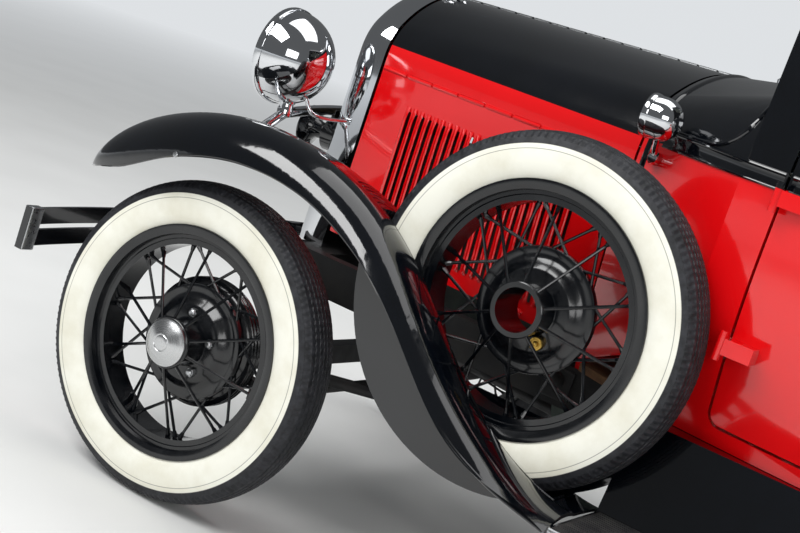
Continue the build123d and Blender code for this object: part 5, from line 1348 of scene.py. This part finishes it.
class SEDAN_OT_cabin(SedanOperator, bpy.types.Operator):
    """Dashboard, dials, levers, pedals, door trim and head lining"""
    bl_idname = "sedan.cabin"
    bl_label = "Cabin trim"

    def execute(self, context):
        trim_cloth()
        dial_face()
        self.dashboard()
        self.controls()
        for name, node, body, front, rear in TRIM_PANELS:
            add_pair(name, self.side_trim(node, front, rear), body, "trim_cloth", 40)
        add_pair("door_cranks", self.door_fittings(), "door_SIDE", "chrome_plate", 40)
        lining = roof_grid((40, 20), (-1110, -3040), 400, 1560, 300)
        add_piece("head_lining", plate(lining - (0, 0, 5), lining + (0, 0, 1)), "car", "trim_cloth", 40)
        return {"FINISHED"}

    def dashboard(self):
        """The dashboard with its lower roll, the plate of dials, their faces, bezels and needles."""
        lower_roll = placed(slab((18, 1010, 24), 8), (-1082, 0, 1142))
        dash = joined(placed(slab((26, 1000, 130), 12), (-1074, 0, DIAL_HEIGHT)), lower_roll)
        add_piece("dashboard", dash, "car", "black_enamel")
        dial_plate = placed(slab((8, 250, 100), 3.5), (-1089, 0, DIAL_HEIGHT))
        add_piece("dial_plate", dial_plate, "car", "spun_nickel")
        faces, bezels = [], []
        for y, r in DIALS:
            place = (0, y, DIAL_HEIGHT)
            face = [(1090, 0), (1090, r), (1094.5, r), (1094.5, 0)]
            ring = [(1090, r), (1097, r + 1), (1098.5, r + 3), (1097, r + 5), (1090, r + 6), (1090, r)]
            needle = [(-1095.6, y, DIAL_HEIGHT), (-1095.6, y + r * 0.55, DIAL_HEIGHT + r * 0.5)]
            faces.append(turned(face, place, (-1, 0, 0), 32))
            bezels += [turned(ring, place, (-1, 0, 0), 40), tube(needle, 1.2, 6)]
        add_piece("dial_faces", joined(*faces), "car", "dial_face", 30)
        add_piece("dial_bezels", joined(*bezels), "car", "chrome_plate", 40)

    def controls(self):
        """Gear and brake levers, pedals and the horn's button."""
        boot = turned(LEVER_BOOT, (-1150, 0, 617), UP, 32)
        levers = joined(tube(smooth_path(LEVER, 30), 6.5, 12), tube(smooth_path(BRAKE, 30), 7.5, 12), boot)
        add_piece("levers", levers, "car", "zinc_plate", 40)
        knob = turned(KNOB, LEVER[-1], (-0.62, 0, 0.78), 28)
        add_piece("lever_knob", knob, "car", "hard_rubber", 40)
        pads = [placed(slab((12, 60, 74), 5), (-1010, y, 700), (1, 0, 0.55))
                for y in (CLUTCH_Y, BRAKE_PEDAL_Y)]
        pads.append(placed(slab((10, 36, 60), 4), (-1000, GAS_Y, 690), (1, 0, 0.7)))
        stems = [tube(smooth_path([(-1004, y, 690), (-960, y, 650), (-930, y, 612)], 12), 7, 10)
                 for y in (CLUTCH_Y, BRAKE_PEDAL_Y, GAS_Y)]
        add_piece("pedal_pads", joined(*pads), "car", "ribbed_rubber", 30)
        add_piece("pedal_stems", joined(*stems), "car", "zinc_plate", 40)
        button = [(-4, 0), (-4, 30), (6, 31), (14, 24), (20, 18), (22, 0)]
        ring = turned(button, (-1390, 330, 1110), Vector((-700, 0, 460)).normalized(), 32)
        add_piece("horn_button", ring, "steering_wheel", "chrome_plate", 30)

    def side_trim(self, node, front, rear):
        """A cloth panel laid on a node's left inner face by level lines from the cabin."""
        x, z = np.meshgrid(np.linspace(front, rear, TRIM_GRID[0]), np.linspace(672, 1168, TRIM_GRID[1]),
                           indexing="ij")
        inside = np.stack([x.ravel(), np.full(x.size, 450.0), z.ravel()], 1)
        face = on_skin(node, inside, inside + (0, 300, 0)).reshape(*TRIM_GRID, 3)
        return plate(face - (0, 5, 0), face + (0, 2, 0))

    def door_fittings(self):
        """The left door's window crank and pull."""
        inwards = (0, -1, 0)
        return joined(
            turned([(0, 0), (0, 26), (10, 26), (16, 18), (18, 0)], CRANK, inwards, 28),
            tube([(-1420, 580, 980), (-1470, 574, 930)], 5, 10),
            turned([(0, 0), (0, 9), (26, 10), (30, 0)], CRANK_KNOB, inwards, 18),
            turned([(0, 0), (0, 24), (10, 24), (14, 0)], PULL, inwards, 28),
            tube([(-1900, 588, 1010), (-1840, 584, 1004)], 5.5, 10))


SEAT_Y = 290
SEAT_LEAN, BENCH_LEAN = (-0.23, 0, 0.973), (-0.2, 0, 0.98)
BACK_FACE = (0.973, 0, 0.23)
CUSHIONS = [
    # name, size, middle, way along it, way its face looks, node it replaces
    ("seat_cushion_left", (440, 452, 130), (-1795, SEAT_Y, 838), (1, 0, 0.05), UP, "front_seats"),
    ("seat_back_left", (430, 440, 84), (-2020, SEAT_Y, 1160), SEAT_LEAN, BACK_FACE, "front_seats"),
    ("seat_cushion_right", (440, 452, 130), (-1795, -SEAT_Y, 838), (1, 0, 0.05), UP, "front_seats"),
    ("seat_back_right", (430, 440, 84), (-2020, -SEAT_Y, 1160), SEAT_LEAN, BACK_FACE, "front_seats"),
    ("bench_cushion", (440, 940, 150), (-2790, 0, 832), (1, 0, 0.04), UP, "rear_seat"),
    ("bench_back", (430, 880, 88), (-3008, 0, 1160), BENCH_LEAN, BACK_FACE, "rear_seat"),
]
CUSHION_EDGE = 34
CLOTH_FRAMES = 18
# In metres
SKIN_SIZE, BLOWN_LIMIT = 0.019, 0.024
SEAM_DEPTH, SEAM_WIDTH, SEAM_INSET = 0.009, 0.007, 0.06


def padded_cushion(name, size, centre, along, face, pleat):
    """A stuffed seat cushion. A box with 34 mm round edges is skinned with an even mesh, blown up by cloth
    pressure (each point held within 24 mm of where it began), and then drawn in along sewn channels: on its
    face a point sinks by 9 mm times exp of minus its distance from the nearest seam over 7 mm, squared."""
    scene = bpy.context.scene
    box = mesh_of(name + "_form", placed(slab(size, CUSHION_EDGE), centre, along))
    form = bpy.data.objects.new(name + "_form", box)
    scene.collection.objects.link(form)
    skin = form.modifiers.new("Skin", "REMESH")
    skin.mode = "VOXEL"
    skin.voxel_size = SKIN_SIZE
    graph = bpy.context.evaluated_depsgraph_get()
    even = bpy.data.meshes.new_from_object(form.evaluated_get(graph))
    bpy.data.objects.remove(form)
    piece = bpy.data.objects.new(name, even)
    scene.collection.objects.link(piece)
    start = read_points(even)
    move = blow_up(piece) - start
    length = np.linalg.norm(move, axis=1)[:, None]
    start = start + move * np.minimum(1, BLOWN_LIMIT / np.maximum(length, 1e-9))
    face = np.array(face, float)
    middle = in_metres(centre)
    out = (start - middle) @ face
    across = start[:, 1] - middle[1]
    pitch = pleat * MM
    gap = np.abs(((across / pitch) % 1) - 0.5) * pitch
    front = np.clip((out - out.max() * 0.55) / (out.max() * 0.3), 0, 1)
    inset = np.clip((np.abs(across).max() - np.abs(across)) / SEAM_INSET, 0, 1)
    sunk = SEAM_DEPTH * np.exp(-((pitch / 2 - gap) / SEAM_WIDTH) ** 2) * front * inset
    even.vertices.foreach_set("co", (start - sunk[:, None] * face).astype(np.float32).ravel())
    even.materials.clear()
    even.materials.append(bpy.data.materials["seat_leather"])
    even.polygons.foreach_set("use_smooth", np.ones(len(even.polygons), bool))
    even.update()
    level = piece.modifiers.new("Smooth", "SUBSURF")
    level.levels = level.render_levels = 1
    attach(piece, "car")
    return piece


def read_points(mesh):
    """A mesh's points as an array."""
    points = np.zeros(len(mesh.vertices) * 3, np.float32)
    mesh.vertices.foreach_get("co", points)
    return points.reshape(-1, 3).astype(float)


def blow_up(piece):
    """Points of a closed skin after 18 frames of cloth under inner pressure with no gravity."""
    cloth = piece.modifiers.new("Cloth", "CLOTH")
    cloth.settings.use_pressure = True
    cloth.settings.uniform_pressure_force = 4
    cloth.settings.effector_weights.gravity = 0
    cloth.settings.quality = 4
    cloth.settings.tension_stiffness = cloth.settings.compression_stiffness = 18
    cloth.point_cache.frame_start, cloth.point_cache.frame_end = 1, CLOTH_FRAMES
    scene = bpy.context.scene
    for number in range(1, CLOTH_FRAMES + 1):
        scene.frame_set(number)
    graph = bpy.context.evaluated_depsgraph_get()
    found = read_points(piece.evaluated_get(graph).data)
    piece.modifiers.remove(cloth)
    scene.frame_set(1)
    return found


class SEDAN_OT_seats(SedanOperator, bpy.types.Operator):
    """Pleated leather front seats and rear bench, with their bases"""
    bl_idname = "sedan.seats"
    bl_label = "Seats"

    def execute(self, context):
        sizes, colours = self.settings()
        seat_leather(colours)
        for name, size, centre, along, face, node in CUSHIONS:
            piece = padded_cushion(name, size, centre, along, face, sizes.seat_pleat)
            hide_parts(node)
        bases = [placed(slab((400, 400, 168), 12), (-1800, y, 702)) for y in (SEAT_Y, -SEAT_Y)]
        shells = [placed(slab((470, 430, 14), 6), (-2078, y, 1146), SEAT_LEAN) for y in (SEAT_Y, -SEAT_Y)]
        bases.append(placed(slab((440, 930, 140), 14), (-2790, 0, 690)))
        shells.append(placed(slab((460, 870, 12), 5), (-3062, 0, 1150), BENCH_LEAN))
        add_piece("seat_bases", joined(*bases), "car", "trim_cloth", 40)
        add_piece("seat_shells", joined(*shells), "car", "black_enamel", 40)
        return {"FINISHED"}


# Studio

CAMERA_PLACE = (-0.35816, 3.40040, 1.20667)
CAMERA_TURN = (1.078460, 0.160515, -0.330392)
LENS, SENSOR_WIDTH = 67.5, 36.0
SOFT_LIGHT, GLOSS_LIGHT, BACKGROUND_LIGHT = 0.46, 0.13, 0.78
SKY = (0.94, 0.97, 1.0, 1.0)
FADE_START, FADE_END = 7.0, 18.0
LAMPS = [
    # name, place, aimed at, width, height, watts
    ("key", (2.6, 4.4, 5.2), (0.4, 0.4, 0.6), 4.5, 2.5, 300),
    ("side", (-3.5, 6.0, 2.6), (0.0, 0.3, 0.8), 4.0, 2.2, 110),
    ("over", (0.0, -0.5, 6.5), (0.0, 0.0, 0.0), 6.0, 4.0, 140),
    ("back", (-4.0, -5.0, 4.0), (0.0, 0.0, 0.8), 4.0, 2.5, 130),
]


def studio_paper():
    """Plain pale paper of the floor, rolled out flat: matt, and fading from 7 to 18 m into the tone of the
    background."""
    tree, shader = surface("studio_paper", "E4E4E2", (clouds(2, 4), [(0.3, "E1E1DF"), (0.7, "E6E6E4")]),
                           roughness=0.85, ior=1.45)
    place = add_node(tree, "ShaderNodeTexCoord").outputs["Object"]
    far = add_node(tree, "ShaderNodeVectorMath", {"operation": "LENGTH"}, {0: place})
    fade = add_node(tree, "ShaderNodeMapRange", {"From Min": FADE_START, "From Max": FADE_END},
                    {"Value": far.outputs["Value"]})
    glow = add_node(tree, "ShaderNodeEmission", {"Color": SKY, "Strength": BACKGROUND_LIGHT})
    tone = add_node(tree, "ShaderNodeMixShader", {}, {0: fade.outputs["Result"], 1: shader.outputs["BSDF"],
                                                      2: glow.outputs["Emission"]})
    tree.links.new(tone.outputs["Shader"], tree.nodes["Material Output"].inputs["Surface"])


class SEDAN_OT_studio(SedanOperator, bpy.types.Operator):
    """Pale floor, soft lamps, world light and the camera"""
    bl_idname = "sedan.studio"
    bl_label = "Studio and camera"

    def execute(self, context):
        scene = bpy.context.scene
        scene.view_settings.view_transform = "Standard"
        studio_paper()
        self.floor(scene)
        self.lamps(scene)
        self.world(scene)
        self.camera(scene)
        return {"FINISHED"}

    def floor(self, scene):
        """A round floor 26 m in radius: rings 1 m apart to 9 m, and six wider ones beyond."""
        ring = np.concatenate([np.linspace(0, 9, 10), np.linspace(10, 26, 6)])
        turn = np.linspace(0, 2 * pi, 72, endpoint=False)
        r, t = np.meshgrid(ring, turn, indexing="ij")
        points = np.stack([r * np.cos(t), r * np.sin(t), np.zeros_like(r)], -1).reshape(-1, 3) / MM
        mesh = mesh_of("studio_floor", (points - (AXLE_TO_ORIGIN, 0, 0), [grid_faces(16, 72, False, True)]))
        mesh.materials.append(bpy.data.materials["studio_paper"])
        floor = bpy.data.objects.new("studio_floor", mesh)
        scene.collection.objects.link(floor)

    def lamps(self, scene):
        """Wide soft lamps above and round the car."""
        for name, place, aim, width, height, watts in LAMPS:
            light = bpy.data.lights.new(name, "AREA")
            light.shape, light.size, light.size_y, light.energy = "RECTANGLE", width, height, watts
            lamp = bpy.data.objects.new(name, light)
            lamp.location = place
            lamp.rotation_euler = (Vector(aim) - Vector(place)).to_track_quat("-Z", "Y").to_euler()
            scene.collection.objects.link(lamp)

    def world(self, scene):
        """Light from all round that dims for glossy paint and metal, so that black stays black, and a pale
        background of the floor's own far tone for the camera and for glass."""
        world = bpy.data.worlds.new("studio")
        scene.world = world
        world.use_nodes = True
        tree = world.node_tree
        sky = tree.nodes["Background"]
        sky.inputs["Color"].default_value = SKY
        path = add_node(tree, "ShaderNodeLightPath")
        clear = add_node(tree, "ShaderNodeMath", {"operation": "MAXIMUM"},
                         {0: path.outputs["Is Camera Ray"], 1: path.outputs["Is Transmission Ray"]})
        light = add_node(tree, "ShaderNodeMapRange", {"To Min": SOFT_LIGHT, "To Max": GLOSS_LIGHT},
                         {"Value": path.outputs["Is Glossy Ray"]})
        power = add_node(tree, "ShaderNodeMix", {"data_type": "FLOAT", 3: BACKGROUND_LIGHT},
                         {0: clear.outputs[0], 2: light.outputs["Result"]})
        tree.links.new(power.outputs[0], sky.inputs["Strength"])

    def camera(self, scene):
        """The photograph's camera: 67.5 mm on a 36 mm wide frame, looking forwards and in from the car's
        left, 9 degrees down and rolled by 19."""
        azimuth, down, roll = CAMERA_TURN
        ahead = np.array([cos(azimuth) * cos(down), -sin(azimuth) * cos(down), -sin(down)])
        right = np.array([-sin(azimuth), -cos(azimuth), 0.0])
        below = np.cross(ahead, right)
        x = cos(roll) * right + sin(roll) * below
        y = sin(roll) * right - cos(roll) * below
        turn = Matrix(np.stack([x, y, -ahead], 1).tolist()).to_4x4()
        data = bpy.data.cameras.new("photo_camera")
        data.lens, data.sensor_width, data.sensor_fit = LENS, SENSOR_WIDTH, "HORIZONTAL"
        data.clip_end = 200
        camera = bpy.data.objects.new("photo_camera", data)
        camera.matrix_world = Matrix.Translation(CAMERA_PLACE) @ turn
        scene.collection.objects.link(camera)
        scene.camera = camera


OPERATORS = (SEDAN_OT_tyres, SEDAN_OT_wheel_trim, SEDAN_OT_paint, SEDAN_OT_mouldings, SEDAN_OT_hood,
             SEDAN_OT_lamps, SEDAN_OT_front, SEDAN_OT_fittings, SEDAN_OT_cabin, SEDAN_OT_seats,
             SEDAN_OT_studio)


class SEDAN_PT_dressing(bpy.types.Panel):
    """Sizes, colours and steps of the sedan's dressing"""
    bl_idname = "SEDAN_PT_dressing"
    bl_label = "Vintage sedan"
    bl_space_type = "VIEW_3D"
    bl_region_type = "UI"
    bl_category = "Sedan"

    def draw(self, context):
        """Lists the properties and then the operators."""
        for group in (context.scene.sedan_sizes, context.scene.sedan_colours):
            box = self.layout.box()
            for name in group.__annotations__:
                box.prop(group, name)
        for operator in OPERATORS:
            self.layout.operator(operator.bl_idname)


CLASSES = (SedanSizes, SedanColours, *OPERATORS, SEDAN_PT_dressing)


def register():
    """Makes Blender know the classes and keeps the settings with the scene."""
    for item in CLASSES:
        bpy.utils.register_class(item)
    bpy.types.Scene.sedan_sizes = PointerProperty(type=SedanSizes)
    bpy.types.Scene.sedan_colours = PointerProperty(type=SedanColours)


def unregister():
    """Takes the settings and classes away again."""
    del bpy.types.Scene.sedan_colours
    del bpy.types.Scene.sedan_sizes
    for item in reversed(CLASSES):
        bpy.utils.unregister_class(item)


def main():
    """Runs every step."""
    register()
    bpy.ops.sedan.tyres()
    bpy.ops.sedan.wheel_trim()
    bpy.ops.sedan.paint()
    bpy.ops.sedan.mouldings()
    bpy.ops.sedan.hood()
    bpy.ops.sedan.lamps()
    bpy.ops.sedan.front()
    bpy.ops.sedan.fittings()
    bpy.ops.sedan.cabin()
    bpy.ops.sedan.seats()
    bpy.ops.sedan.studio()


if __name__ == "__main__":
    main()
